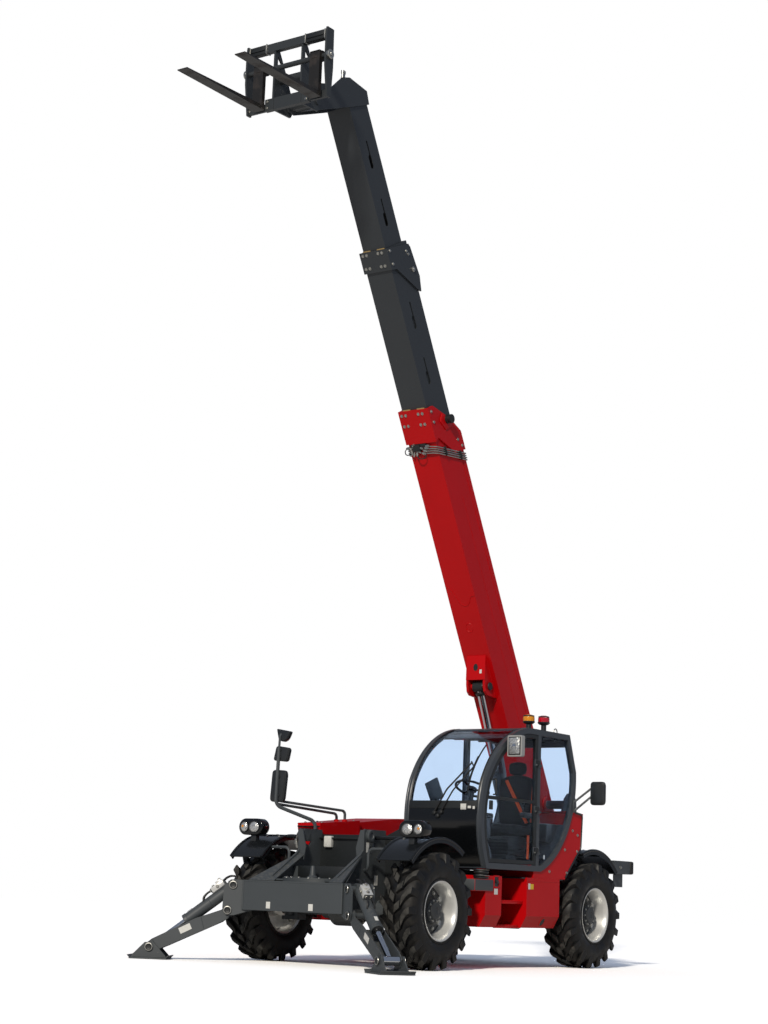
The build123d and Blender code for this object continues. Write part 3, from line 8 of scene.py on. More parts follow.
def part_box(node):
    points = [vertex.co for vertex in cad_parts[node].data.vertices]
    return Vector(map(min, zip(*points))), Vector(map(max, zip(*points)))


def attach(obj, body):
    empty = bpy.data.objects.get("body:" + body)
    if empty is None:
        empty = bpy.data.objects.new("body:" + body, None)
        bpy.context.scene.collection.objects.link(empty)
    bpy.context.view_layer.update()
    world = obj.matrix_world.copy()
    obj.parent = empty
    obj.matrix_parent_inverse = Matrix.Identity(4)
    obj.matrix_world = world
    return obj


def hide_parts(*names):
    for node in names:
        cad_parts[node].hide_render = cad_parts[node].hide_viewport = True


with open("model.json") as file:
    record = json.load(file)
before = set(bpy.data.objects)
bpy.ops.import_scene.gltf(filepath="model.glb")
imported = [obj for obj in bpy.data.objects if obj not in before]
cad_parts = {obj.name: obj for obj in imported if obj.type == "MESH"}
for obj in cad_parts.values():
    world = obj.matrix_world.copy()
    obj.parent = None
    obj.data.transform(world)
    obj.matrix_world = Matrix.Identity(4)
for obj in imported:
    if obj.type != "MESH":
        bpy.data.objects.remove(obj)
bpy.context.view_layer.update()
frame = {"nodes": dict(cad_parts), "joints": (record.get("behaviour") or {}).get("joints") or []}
nodes = frame["nodes"]


# ---- camera, floor and lamps --------------------------------------------------------------
# The machine stands on a pale studio floor. A low camera in front of its left corner looks up
# at the raised boom, with a slight roll. One broad lamp in front, the rest is even sky.
def linear(code):
    """An sRGB hex colour such as "#c81010" as linear RGBA."""
    parts = [int(code[i:i + 2], 16) / 255 for i in (1, 3, 5)]
    return [p / 12.92 if p <= 0.04045 else ((p + 0.055) / 1.055) ** 2.4 for p in parts] + [1.0]


def add_node(tree, kind, links=(), **settings):
    """Adds a shader node. Settings name its properties or sockets; a link is (socket, source),
    where a source is an output, or a node whose first output is meant."""
    node = tree.nodes.new("ShaderNode" + kind)
    for name, value in settings.items():
        socket = name.replace("_", " ")
        if hasattr(node, name):
            setattr(node, name, value)
        elif socket in node.inputs:
            node.inputs[socket].default_value = value
        else:
            raise ValueError(kind + " has no " + name)
    for socket, source in links:
        output = source.outputs[0] if hasattr(source, "outputs") else source
        tree.links.new(output, node.inputs[socket])
    return node


view_azimuth, view_pitch, view_roll = 0.6204353, 0.1900696, 0.0379687
camera_data = bpy.data.cameras.new("camera")
camera_data.sensor_fit = "VERTICAL"
camera_data.sensor_height = 24.0
camera_data.lens = 46.48640625      # millimetres
camera_data.clip_end = 200.0
camera = bpy.data.objects.new("camera", camera_data)
ahead = Vector((-cos(view_azimuth) * cos(view_pitch), -sin(view_azimuth) * cos(view_pitch),
                sin(view_pitch)))
aside = Vector((-sin(view_azimuth), cos(view_azimuth), 0))
skyward = aside.cross(ahead)
across = aside * cos(view_roll) + skyward * sin(view_roll)
above = skyward * cos(view_roll) - aside * sin(view_roll)
camera.matrix_world = Matrix((across, above, -ahead)).transposed().to_4x4()
camera.location = (17.4986, 12.3255, 0.7318)
bpy.context.scene.collection.objects.link(camera)
bpy.context.scene.camera = camera

bpy.context.scene.view_settings.view_transform = "Standard"
world = bpy.data.worlds.new("studio")
bpy.context.scene.world = world
world.use_nodes = True
tree = world.node_tree
tree.nodes.clear()
ray = add_node(tree, "LightPath")
direct = add_node(tree, "Math",
                  [(0, ray.outputs["Is Camera Ray"]), (1, ray.outputs["Is Transmission Ray"])],
                  operation="MAXIMUM")
sky = add_node(tree, "Background", Color=linear("#b9c5dc"), Strength=0.42)
backdrop = add_node(tree, "Background", Color=linear("#ffffff"), Strength=1.0)
mixed = add_node(tree, "MixShader", [(0, direct), (1, sky), (2, backdrop)])
add_node(tree, "OutputWorld", [("Surface", mixed)])

sun_data = bpy.data.lights.new("front_lamp", "SUN")
sun_data.energy = 2.7
sun_data.angle = radians(5)
sun_data.color = linear("#fff6e8")[:3]
sun = bpy.data.objects.new("front_lamp", sun_data)
sun.rotation_euler = Vector((0.80, 0.29, 0.48)).to_track_quat("Z", "Y").to_euler()
bpy.context.scene.collection.objects.link(sun)

bpy.ops.mesh.primitive_circle_add(vertices=96, radius=60.0, fill_type="NGON", location=(0, 0, -0.002))
floor = bpy.context.object
floor.name = "floor"
floor_paint = bpy.data.materials.new("matt_white_floor_paint")
floor_paint.use_nodes = True
tree = floor_paint.node_tree
tree.nodes.clear()
floor_colour = add_node(tree, "BsdfDiffuse", Color=linear("#e4e1db"))
floor_seen = add_node(tree, "BsdfDiffuse", Color=(1.68, 1.68, 1.66, 1.0))
floor_ray = add_node(tree, "LightPath").outputs["Is Camera Ray"]
floor_mixed = add_node(tree, "MixShader", [(0, floor_ray), (1, floor_colour), (2, floor_seen)])
add_node(tree, "OutputMaterial", [("Surface", floor_mixed)])
floor.data.materials.append(floor_paint)

# ---- tyres --------------------------------------------------------------------------------
# Industrial 405/70-24 tyres of black rubber. Curved shoulder lugs reach in to a row of square
# centre blocks, both moulded in one with the carcass; their worn faces are grey-brown.
def clear():
    """Leaves edit mode and selects nothing."""
    if bpy.context.object and bpy.context.object.mode != "OBJECT":
        bpy.ops.object.mode_set(mode="OBJECT")
    bpy.ops.object.select_all(action="DESELECT")


def choose(piece):
    """Makes this piece the only one that operators act on."""
    clear()
    piece.select_set(True)
    bpy.context.view_layer.objects.active = piece
    return piece


def round_edges(piece, width, segments=2, angle=30):
    """Bevels the sharp edges for good."""
    choose(piece)
    bpy.ops.object.modifier_add(type="BEVEL")
    bevel = piece.modifiers[-1]
    bevel.width = width
    bevel.segments = segments
    bevel.limit_method = "ANGLE"
    bevel.angle_limit = radians(angle)
    bpy.ops.object.modifier_apply(modifier=bevel.name)
    return piece


def turned(profile, sides=48, closed=False):
    """A shape turned about Z: a ring drawn out and resized through (radius, height) steps."""
    clear()
    radius, height = profile[0]
    bpy.ops.mesh.primitive_circle_add(vertices=sides, radius=radius, location=(0, 0, height),
                                      fill_type="NOTHING" if closed else "NGON")
    piece = bpy.context.object
    bpy.ops.object.transform_apply(location=True)
    bpy.ops.object.mode_set(mode="EDIT")
    for (r, z), (next_r, next_z) in zip(profile, profile[1:] + (profile[:1] if closed else [])):
        bpy.ops.mesh.extrude_region_move(TRANSFORM_OT_translate={"value": (0, 0, next_z - z)})
        bpy.ops.transform.resize(value=(next_r / r, next_r / r, 1), center_override=(0, 0, next_z))
    bpy.ops.mesh.select_all(action="SELECT")
    bpy.ops.mesh.remove_doubles(threshold=0.00002)
    bpy.ops.mesh.normals_make_consistent(inside=False)
    bpy.ops.object.mode_set(mode="OBJECT")
    return piece


def copied(piece, *places):
    """The piece's shape again at each place (a matrix), each copy with its own mesh."""
    copies = []
    for place in places:
        twin = bpy.data.objects.new(piece.name, piece.data.copy())
        twin.data.transform(place)
        if place.determinant() < 0:
            twin.data.flip_normals()
        bpy.context.scene.collection.objects.link(twin)
        copies.append(twin)
    return copies


def joined(pieces):
    """Several pieces as one mesh."""
    clear()
    for piece in pieces:
        piece.select_set(True)
    bpy.context.view_layer.objects.active = pieces[0]
    if len(pieces) > 1:
        bpy.ops.object.join()
    return bpy.context.object


def drop(*pieces):
    """Takes away models that only their copies were wanted of."""
    for piece in pieces:
        bpy.data.objects.remove(piece)


def settle(piece, name, body, slot, finish=None, smooth=35):
    """Bakes the place into the mesh, names and paints the piece and lets it ride on its body."""
    choose(piece)
    bpy.ops.object.transform_apply(location=True, rotation=True, scale=True)
    bpy.ops.object.shade_smooth_by_angle(angle=radians(smooth))
    piece.name = name
    if finish:
        piece.data.materials.clear()
        piece.data.materials.append(finish)
    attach(piece, body)
    return piece


def blank_finish(name):
    """A finish to be filled in: its tree, its place on the object in metres, and its shader."""
    finish = bpy.data.materials.new(name)
    finish.use_nodes = True
    tree = finish.node_tree
    tree.nodes.clear()
    place = add_node(tree, "TexCoord").outputs["Object"]
    shader = add_node(tree, "BsdfPrincipled")
    add_node(tree, "OutputMaterial", [("Surface", shader)])
    return finish, tree, place, shader


def feed(shader, **sources):
    """Links the first output of each node to the shader's socket of that name."""
    for name, source in sources.items():
        shader.id_data.links.new(source.outputs[0], shader.inputs[name.replace("_", " ")])


# Moulded carbon-black rubber: matt, finely pitted by the mould, browner where it was dusted.
rubber, tree, place, shader = blank_finish("black_tyre_rubber")
patches = add_node(tree, "TexNoise", [("Vector", place)], Scale=1 / 0.09, Detail=5.0)
dusted = add_node(tree, "MapRange", [("Value", patches)], From_Min=0.42, From_Max=0.75)
shade = add_node(tree, "MixRGB", [("Fac", dusted)], Color1=linear("#101113"), Color2=linear("#24221f"))
matt = add_node(tree, "MapRange", [("Value", dusted)], To_Min=0.42, To_Max=0.75)
pits = add_node(tree, "TexNoise", [("Vector", place)], Scale=1 / 0.005, Detail=4.0)
bump = add_node(tree, "Bump", [("Height", pits)], Distance=0.0008)
feed(shader, Base_Color=shade, Roughness=matt, Normal=bump)
shader.inputs["Specular IOR Level"].default_value = 0.3

# The same rubber where it meets the ground: scuffed rough, with dry earth left in it.
tread_dust, tree, place, shader = blank_finish("dusty_tread_rubber")
patches = add_node(tree, "TexNoise", [("Vector", place)], Scale=1 / 0.05, Detail=6.0)
dusted = add_node(tree, "MapRange", [("Value", patches)], From_Min=0.35, From_Max=0.7)
shade = add_node(tree, "MixRGB", [("Fac", dusted)], Color1=linear("#2a2a29"), Color2=linear("#4b4a47"))
scuffs = add_node(tree, "TexNoise", [("Vector", place)], Scale=1 / 0.004, Detail=5.0)
bump = add_node(tree, "Bump", [("Height", scuffs)], Distance=0.001)
feed(shader, Base_Color=shade, Normal=bump)
shader.inputs["Roughness"].default_value = 0.85
shader.inputs["Specular IOR Level"].default_value = 0.2

low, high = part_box("front_left_tyre")
tyre_radius = (high.z - low.z) / 2
tyre_half = (high.y - low.y) / 2
low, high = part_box("front_left_rim")
rim_radius = (high.z - low.z) / 2
rim_half = (high.y - low.y) / 2
lug_pairs, lug_height = 18, 0.034
crown = tyre_radius - lug_height
side_profile = [                    # (radius, distance from the tyre's middle), bead to crown
    (rim_radius - 0.008, tyre_half - 0.040), (rim_radius + 0.004, tyre_half - 0.018),
    (rim_radius + 0.018, tyre_half - 0.017), (rim_radius + 0.026, tyre_half - 0.024),
    (rim_radius + 0.045, tyre_half - 0.012), (rim_radius + 0.085, tyre_half - 0.003),
    (rim_radius + 0.13, tyre_half - 0.002), (rim_radius + 0.165, tyre_half - 0.010),
    (rim_radius + 0.20, tyre_half - 0.024), (crown - 0.026, tyre_half - 0.050), (crown - 0.006, 0.10),
    (crown, 0.03),
]
carcass = turned(side_profile + [(r, -w) for r, w in reversed(side_profile)], sides=108, closed=True)


def lug_bar(path):
    """A rubber bar on the tread; each step is (across, angle, half breadth, top, foot)."""
    clear()
    bpy.ops.mesh.primitive_cube_add(size=1)
    bar = bpy.context.object
    bpy.ops.object.mode_set(mode="EDIT")
    bpy.ops.mesh.select_all(action="SELECT")
    bpy.ops.mesh.subdivide(number_cuts=len(path) - 2)
    bpy.ops.object.mode_set(mode="OBJECT")
    for vertex in bar.data.vertices:
        x, y, z = vertex.co + Vector((0.5, 0.5, 0.5))
        step = round(x * (len(path) - 1))
        across, angle, breadth, top, foot = path[step]
        turn = angle + (y * 2 - 1) * breadth * (1.3 - 0.3 * z) / tyre_radius
        radius = foot + (top - foot) * z
        across += 0.014 * (1 - z) if step == 0 else 0.0
        vertex.co = (radius * cos(turn), radius * sin(turn), across)
    return round_edges(bar, 0.005, 2, 40)


pitch = 2 * pi / lug_pairs
shoulder_path, block_path = [], []  # from the shoulder in, bowing round, and on across the middle
for step in range(8):
    t = step / 7
    shoulder_path.append((tyre_half - 0.020 - 0.108 * t, pitch * 0.60 * t ** 1.7, 0.036 + 0.012 * t,
                          tyre_radius - 0.003 - 0.012 * max(0.0, 1 - 4 * t),
                          crown - 0.03 - 0.06 * (1 - t) ** 3))
for step in range(3):
    t = step / 2
    block_path.append((tyre_half - 0.137 - 0.062 * t, pitch * (0.70 + 0.26 * t), 0.040,
                       tyre_radius - 0.001, crown - 0.02))
shoulder_lug, centre_block = lug_bar(shoulder_path), lug_bar(block_path)
lug_places = []
for number in range(lug_pairs):
    lug_places.append(Matrix.Rotation(number * pitch, 4, "Z"))
    lug_places.append(Matrix.Rotation((number + 0.5) * pitch, 4, "Z") @ Matrix.Scale(-1, 4, (0, 0, 1)))
lugs = joined(copied(shoulder_lug, *lug_places) + copied(centre_block, *lug_places))
for piece in (carcass, lugs):
    piece.data.materials.append(rubber)
    piece.data.materials.append(tread_dust)
for face in lugs.data.polygons:
    reach = hypot(face.center.x, face.center.y)
    outward = (face.normal.x * face.center.x + face.normal.y * face.center.y) / reach
    if reach > tyre_radius - 0.020 and outward > 0.85:
        face.material_index = 1
tyre_model = joined([carcass, lugs])
wheel_names = [end + "_" + side for end in ("front", "rear") for side in ("left", "right")]
wheel_places = {}                   # turns a wheel drawn about Z, dished towards +Z, to its place
for wheel in wheel_names:
    low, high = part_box(wheel + "_tyre")
    turn = Matrix.Rotation(radians(-90), 4, "X")
    if wheel.endswith("right"):
        turn = Matrix.Scale(-1, 4, (0, 1, 0)) @ turn
    wheel_places[wheel] = Matrix.Translation((low + high) / 2) @ turn
    tyre = copied(tyre_model, wheel_places[wheel])[0]
    settle(tyre, wheel + "_lugged_tyre", wheel + "_wheel", "tyre", smooth=38)
    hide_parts(wheel + "_tyre")
drop(tyre_model, shoulder_lug, centre_block)


# ---- rims and hubs ------------------------------------------------------------------------
# Pressed steel rims in silver paint: a thin rolled flange, a stepped well, and a dark disc that
# holds the planetary hub, its dark partly painted shade of the rim's hollow. Ten wheel nuts hold
# the disc, ten screws the hub's cover.
def enamel(name, colour, faded, gloss=0.3, dusty=0.3, dust="#8c8578", chips="#6b6a66",
           metallic=0.0, specular=0.5):
    """Sprayed enamel on steel: a cloudy second shade, orange peel, small chips, dust on top."""
    finish, tree, place, shader = blank_finish(name)
    clouds = add_node(tree, "TexNoise", [("Vector", place)], Scale=1 / 0.35, Detail=5.0)
    shade = add_node(tree, "MixRGB", [("Fac", clouds)], Color1=linear(colour), Color2=linear(faded))
    flakes = add_node(tree, "TexNoise", [("Vector", place)], Scale=1 / 0.018, Detail=8.0)
    chipped = add_node(tree, "MapRange", [("Value", flakes)], From_Min=0.735, From_Max=0.75, To_Max=0.7)
    worn = add_node(tree, "MixRGB", [("Fac", chipped), ("Color1", shade)], Color2=linear(chips))
    facing = add_node(tree, "NewGeometry").outputs["Normal"]
    height = add_node(tree, "SeparateXYZ", [(0, facing)])
    flat = add_node(tree, "MapRange", [("Value", height.outputs[2])], From_Min=0.35, From_Max=0.95)
    grit = add_node(tree, "TexNoise", [("Vector", place)], Scale=1 / 0.03, Detail=6.0)
    lying = add_node(tree, "MapRange", [("Value", grit)], From_Min=0.45, From_Max=0.75, To_Max=dusty)
    settled = add_node(tree, "Math", [(0, flat), (1, lying)], operation="MULTIPLY")
    top = add_node(tree, "MixRGB", [("Fac", settled), ("Color1", worn)], Color2=linear(dust))
    sheen = add_node(tree, "MapRange", [("Value", clouds)], To_Min=gloss, To_Max=gloss + 0.14)
    peel = add_node(tree, "TexNoise", [("Vector", place)], Scale=1 / 0.0045, Detail=2.0)
    bump = add_node(tree, "Bump", [("Height", peel)], Distance=0.0003)
    feed(shader, Base_Color=top, Roughness=sheen, Normal=bump)
    shader.inputs["Metallic"].default_value = metallic
    shader.inputs["Specular IOR Level"].default_value = specular
    return finish


def coat(finish, *names):
    """Gives CAD nodes a finish."""
    for name in names:
        nodes[name].data.materials.clear()
        nodes[name].data.materials.append(finish)


# Sprayed enamels of the wheels: silver with metal flake, and satin black-grey on the hubs, in part painted
# shade of the rim's hollow.
rim_paint = enamel("silver_rim_enamel", "#e4e4e1", "#cfd0cd", 0.24, 0.15, "#a59e90", metallic=0.5)
hub_paint_with_shade = enamel("hub_enamel_darkened_as_shade", "#26292b", "#303335", 0.38)
# Zinc-plated and passivated steel of bolts and fittings: bright, slightly warm and cloudy.
zinc, tree, place, shader = blank_finish("zinc_plated_steel")
cloud = add_node(tree, "TexNoise", [("Vector", place)], Scale=1 / 0.02, Detail=4.0)
shade = add_node(tree, "MixRGB", [("Fac", cloud)], Color1=linear("#9c9c97"), Color2=linear("#c2c1ba"))
sheen = add_node(tree, "MapRange", [("Value", cloud)], To_Min=0.25, To_Max=0.45)
feed(shader, Base_Color=shade, Roughness=sheen)
shader.inputs["Metallic"].default_value = 1.0


def bar(low, high, bevel=0.004, segments=2):
    """A rounded block between two corners."""
    clear()
    low, high = Vector(low), Vector(high)
    bpy.ops.mesh.primitive_cube_add(size=1, location=(low + high) / 2)
    piece = bpy.context.object
    bpy.ops.object.transform_apply(location=True)
    bpy.ops.object.mode_set(mode="EDIT")
    bpy.ops.transform.resize(value=high - low, center_override=(low + high) / 2)
    bpy.ops.object.mode_set(mode="OBJECT")
    return round_edges(piece, bevel, segments)


bolt_heads = {}


def bolts(name, seats, size, body, finish=None, slot="chrome"):
    """Hexagon heads on washers, this wide across corners, at seats (matrices whose Z looks out)."""
    if size not in bolt_heads:
        washer = turned([(size * 0.30, -0.001), (size * 0.66, -0.001), (size * 0.68, 0.0004),
                         (size * 0.66, size * 0.09), (size * 0.30, size * 0.09)], 14)
        head = turned([(size * 0.30, size * 0.08), (size * 0.50, size * 0.08), (size * 0.50, size * 0.36),
                       (size * 0.44, size * 0.42), (size * 0.20, size * 0.43)], 6)
        bolt_heads[size] = joined([washer, head])
    return settle(joined(copied(bolt_heads[size], *seats)), name, body, slot, finish or zinc, 30)


rim_well = [                        # outer face of the dish: well, its ribs, seat and flange
    (rim_radius - 0.046, 0.010), (rim_radius - 0.048, rim_half - 0.120),
    (rim_radius - 0.040, rim_half - 0.112), (rim_radius - 0.040, rim_half - 0.084),
    (rim_radius - 0.028, rim_half - 0.076), (rim_radius - 0.028, rim_half - 0.050),
    (rim_radius - 0.019, rim_half - 0.043), (rim_radius - 0.019, rim_half - 0.018),
    (rim_radius - 0.012, rim_half - 0.008), (rim_radius - 0.002, rim_half - 0.004),
    (rim_radius + 0.001, rim_half + 0.002), (rim_radius - 0.004, rim_half + 0.006),
    (rim_radius - 0.013, rim_half + 0.002), (rim_radius - 0.024, rim_half - 0.012),
    (rim_radius - 0.032, rim_half - 0.050), (rim_radius - 0.054, rim_half - 0.124),
    (rim_radius - 0.058, 0.010),
]
hub_profile = [
    (0.246, 0.006), (0.252, 0.012), (0.250, 0.020), (0.215, 0.022), (0.208, 0.036), (0.190, 0.042),
    (0.165, 0.042), (0.158, 0.052), (0.140, 0.058), (0.128, 0.074), (0.124, 0.098), (0.116, 0.106),
    (0.092, 0.108), (0.088, 0.120), (0.080, 0.126), (0.040, 0.128), (0.034, 0.122), (0.010, 0.121),
]
rim_model = turned(rim_well, 96, closed=True)
hub_model = turned(hub_profile, 64)
ring = [(cos(2 * pi * n / 10), sin(2 * pi * n / 10)) for n in range(10)]
nut_seats = [Matrix.Translation((0.180 * x, 0.180 * y, 0.042)) for x, y in ring]
screw_seats = [Matrix.Translation((0.104 * x, 0.104 * y, 0.107)) for x, y in ring]
tab = bar((0.196, -0.030, 0.010), (0.247, 0.030, 0.034), 0.008)
tabs = joined(copied(tab, *[Matrix.Rotation(2 * pi * (n + 0.5) / 6, 4, "Z") for n in range(6)]))
valve = turned([(0.010, 0.0), (0.010, 0.012), (0.006, 0.016), (0.0045, 0.055), (0.006, 0.060),
                (0.006, 0.072), (0.002, 0.074)], 12)
valve.data.transform(Matrix.Translation((rim_radius - 0.044, 0, rim_half - 0.110))
                     @ Matrix.Rotation(radians(-38), 4, "Y"))
for wheel in wheel_names:
    place, body = wheel_places[wheel], wheel + "_wheel"
    settle(copied(rim_model, place)[0], wheel + "_rim_well", body, "silver_paint", rim_paint, 30)
    # Disc and hub: dark enamel that is partly painted shade of the rim's hollow.
    settle(copied(hub_model, place)[0], wheel + "_hub_disc", body, "dark_grey_paint", hub_paint_with_shade, 30)
    settle(copied(tabs, place)[0], wheel + "_disc_tabs", body, "silver_paint", rim_paint, 30)
    settle(copied(valve, place)[0], wheel + "_valve", body, "chrome", zinc, 30)
    bolts(wheel + "_wheel_nuts", [place @ at for at in nut_seats], 0.034, body)
    bolts(wheel + "_hub_screws", [place @ at for at in screw_seats], 0.018, body)
    coat(rim_paint, wheel + "_rim")
drop(rim_model, hub_model, tab, tabs, valve)


# ---- axles and steering -------------------------------------------------------------------
# Both axles are cast housings in the frame's anthracite enamel. Behind each lies a double-ended
# steering cylinder whose ball joints, in rubber boots, end on the knuckles' arms.
def seat(point, way):
    """A place at a point whose Z looks along a direction."""
    return Matrix.Translation(point) @ Vector(way).to_track_quat("Z", "Y").to_matrix().to_4x4()


def pipe(radius, points, bend=0.03, sides=2):
    """A round tube along straight runs, with a bend of this reach at each corner."""
    clear()
    bpy.ops.mesh.primitive_plane_add(size=0.001, location=points[0])
    piece = bpy.context.object
    bpy.ops.object.transform_apply(location=True)
    bpy.ops.object.mode_set(mode="EDIT")
    bpy.ops.mesh.merge(type="CENTER")
    for start, end in zip(points, points[1:]):
        bpy.ops.mesh.extrude_region_move(TRANSFORM_OT_translate={"value": Vector(end) - Vector(start)})
    bpy.ops.mesh.select_all(action="SELECT")
    if bend and len(points) > 2:
        bpy.ops.mesh.bevel(offset=bend, segments=6, affect="VERTICES", offset_type="OFFSET")
    bpy.ops.object.mode_set(mode="OBJECT")
    bpy.ops.object.convert(target="CURVE")
    piece = bpy.context.object
    piece.data.bevel_depth = radius
    piece.data.bevel_resolution = sides
    piece.data.use_fill_caps = True
    bpy.ops.object.convert(target="MESH")
    return bpy.context.object


# Anthracite enamel of the frame: satin, dulled by dust where it looks up.
grey_enamel = enamel("anthracite_frame_enamel", "#43484c", "#3b4043", 0.42, 0.3)
coat(grey_enamel, "axles", *[wheel + "_knuckle" for wheel in wheel_names])
# Extruded or moulded black rubber of boots, hoses and seals: low gloss, faint mottling. It also fills two
# holes as painted shade.
black_rubber, tree, place, shader = blank_finish("black_hose_rubber")
mottle = add_node(tree, "TexNoise", [("Vector", place)], Scale=1 / 0.03, Detail=5.0)
shade = add_node(tree, "MixRGB", [("Fac", mottle)], Color1=linear("#131415"), Color2=linear("#1f2022"))
matt = add_node(tree, "MapRange", [("Value", mottle)], To_Min=0.4, To_Max=0.6)
feed(shader, Base_Color=shade, Roughness=matt)
# Ground and hard-chromed piston rods: a mirror, drawn a little along its length.
chrome, tree, place, shader = blank_finish("hard_chrome_plate")
film = add_node(tree, "TexNoise", [("Vector", place)], Scale=1 / 0.05, Detail=4.0)
haze = add_node(tree, "MapRange", [("Value", film)], To_Min=0.06, To_Max=0.2)
feed(shader, Roughness=haze)
shader.inputs["Base Color"].default_value = linear("#c9ccd0")
shader.inputs["Metallic"].default_value = 1.0

joints = {joint["name"]: joint for joint in frame["joints"]}
boot_profile = [(0.020, -0.036), (0.031, -0.030), (0.036, -0.012), (0.030, -0.002), (0.037, 0.008),
                (0.030, 0.018), (0.020, 0.026), (0.012, 0.036)]
boot_model = turned(boot_profile, 20)
for end in ("front", "rear"):
    pin = Vector(joints[end + "_left_steer"]["pos_m"])
    rear_x, height = pin.x - 0.150, pin.z - 0.055
    barrel = turned([(0.030, -0.250), (0.040, -0.250), (0.040, -0.215), (0.035, -0.212), (0.035, 0.212),
                     (0.040, 0.215), (0.040, 0.250), (0.030, 0.250)], 28)
    settle(copied(barrel, seat((rear_x, 0, height), (0, 1, 0)))[0], end + "_steering_cylinder", "chassis",
           "dark_grey_paint", grey_enamel)
    rod = turned([(0.010, -0.560), (0.016, -0.556), (0.016, 0.556), (0.010, 0.560)], 20)
    settle(copied(rod, seat((rear_x, 0, height), (0, 1, 0)))[0], end + "_steering_rod", "chassis",
           "chrome", chrome)
    saddles = [bar((rear_x - 0.045, y - 0.03, height - 0.05),
                   (pin.x - 0.06, y + 0.03, height + 0.05), 0.008) for y in (-0.16, 0.16)]
    settle(joined(saddles), end + "_cylinder_saddles", "chassis", "grey_paint", grey_enamel)
    drop(barrel, rod)
    for side, way in (("left", 1), ("right", -1)):
        at = (rear_x, way * (abs(pin.y) - 0.004), pin.z - 0.026)
        boot = copied(boot_model, seat(at, (0, 0, 1)))[0]
        settle(boot, "%s_%s_ball_boot" % (end, side), "%s_%s_knuckle_body" % (end, side), "black_plastic",
               black_rubber)
    hub_bolts = []
    for number in range(12):
        turn = 2 * pi * number / 12
        hub_bolts.append(seat((pin.x + 0.170 * cos(turn), 0.150, pin.z + 0.170 * sin(turn)), (0, 1, 0)))
        hub_bolts.append(seat((pin.x + 0.170 * cos(turn), -0.110, pin.z + 0.170 * sin(turn)), (0, -1, 0)))
    bolts(end + "_housing_bolts", hub_bolts, 0.026, "chassis")
    pivots = [seat((pin.x, way * abs(pin.y), pin.z + up * 0.150), (0, 0, up))
              for way in (1, -1) for up in (1, -1)]
    bolts(end + "_kingpin_caps", pivots, 0.060, "chassis")
drop(boot_model)


# ---- chassis frame ------------------------------------------------------------------------
# Welded plate frame in anthracite enamel: two uprights with sloping gussets on the stabiliser
# beam, a dark bulkhead behind them, weld beads, a bolted deck and blank white plates.
coat(grey_enamel, "chassis_frame")
# Near-black satin enamel of the bulkhead, of pins and of the cab's door.
dark_enamel = enamel("near_black_panel_enamel", "#14181a", "#1a1e20", 0.42, 0.12)
coat(dark_enamel, "front_bulkhead")
beam_front, beam_half, beam_low, beam_top = 1.585, 0.631, 0.522, 0.819
upright_front, upright_side, upright_top = 0.955, 0.420, 1.370


def plate(points, depth, width=0.0):
    """A flat plate with these corners, drawn out along a vector, its edges broken by a width."""
    clear()
    bpy.ops.mesh.primitive_plane_add(size=0.001, location=points[0])
    piece = bpy.context.object
    bpy.ops.object.transform_apply(location=True)
    bpy.ops.object.mode_set(mode="EDIT")
    bpy.ops.mesh.merge(type="CENTER")
    for start, end in zip(points, points[1:]):
        bpy.ops.mesh.extrude_region_move(TRANSFORM_OT_translate={"value": Vector(end) - Vector(start)})
    bpy.ops.mesh.select_all(action="SELECT")
    bpy.ops.mesh.edge_face_add()
    bpy.ops.mesh.extrude_region_move(TRANSFORM_OT_translate={"value": depth})
    bpy.ops.mesh.select_all(action="SELECT")
    bpy.ops.mesh.normals_make_consistent(inside=False)
    bpy.ops.object.mode_set(mode="OBJECT")
    if width:
        round_edges(piece, width)
    return piece


trim = [plate([(0.566, -0.423, 0.760), (0.566, -0.560, 0.860), (0.566, -0.560, 1.170),
               (0.566, -0.423, 1.170)], (0.012, 0, 0), 0.003),
        bar((0.594, -0.396, 1.278), (0.640, 0.396, 1.292), 0.003),
        plate([(0.584, -0.396, 1.230), (0.584, -0.396, 1.324), (0.584, 0.445, 1.324), (0.584, 0.600, 1.396),
               (0.584, 0.700, 1.396), (0.584, 0.700, 1.230)], (0.012, 0, 0), 0.003),
        bar((1.061, -0.330, 0.845), (1.069, 0.330, 0.985), 0.003)]
settle(joined(trim), "bulkhead_trim", "chassis", "dark_grey_paint", dark_enamel)

beads = []
for way in (1, -1):
    beads.append(pipe(0.009, [(beam_front - 0.002, way * (beam_half - 0.010), beam_low + 0.004),
                              (beam_front - 0.002, way * (beam_half - 0.010), beam_top - 0.004)], 0))
    beads.append(pipe(0.005, [(upright_front + 0.075, way * 0.425, upright_top - 0.300),
                              (beam_front - 0.150, way * 0.560, beam_top + 0.008)], 0))
    beads.append(pipe(0.006, [(upright_front + 0.002, way * 0.398, upright_top - 0.03),
                              (upright_front + 0.002, way * 0.398, upright_top - 0.19)], 0))
beads.append(pipe(0.007, [(beam_front - 0.004, -beam_half + 0.01, beam_top - 0.012),
                          (beam_front - 0.004, beam_half - 0.01, beam_top - 0.012)], 0))
beads.append(pipe(0.006, [(beam_front - 0.004, -beam_half + 0.01, beam_low + 0.008),
                          (beam_front - 0.004, beam_half - 0.01, beam_low + 0.008)], 0))
settle(joined(beads), "frame_weld_beads", "chassis", "grey_paint", grey_enamel)

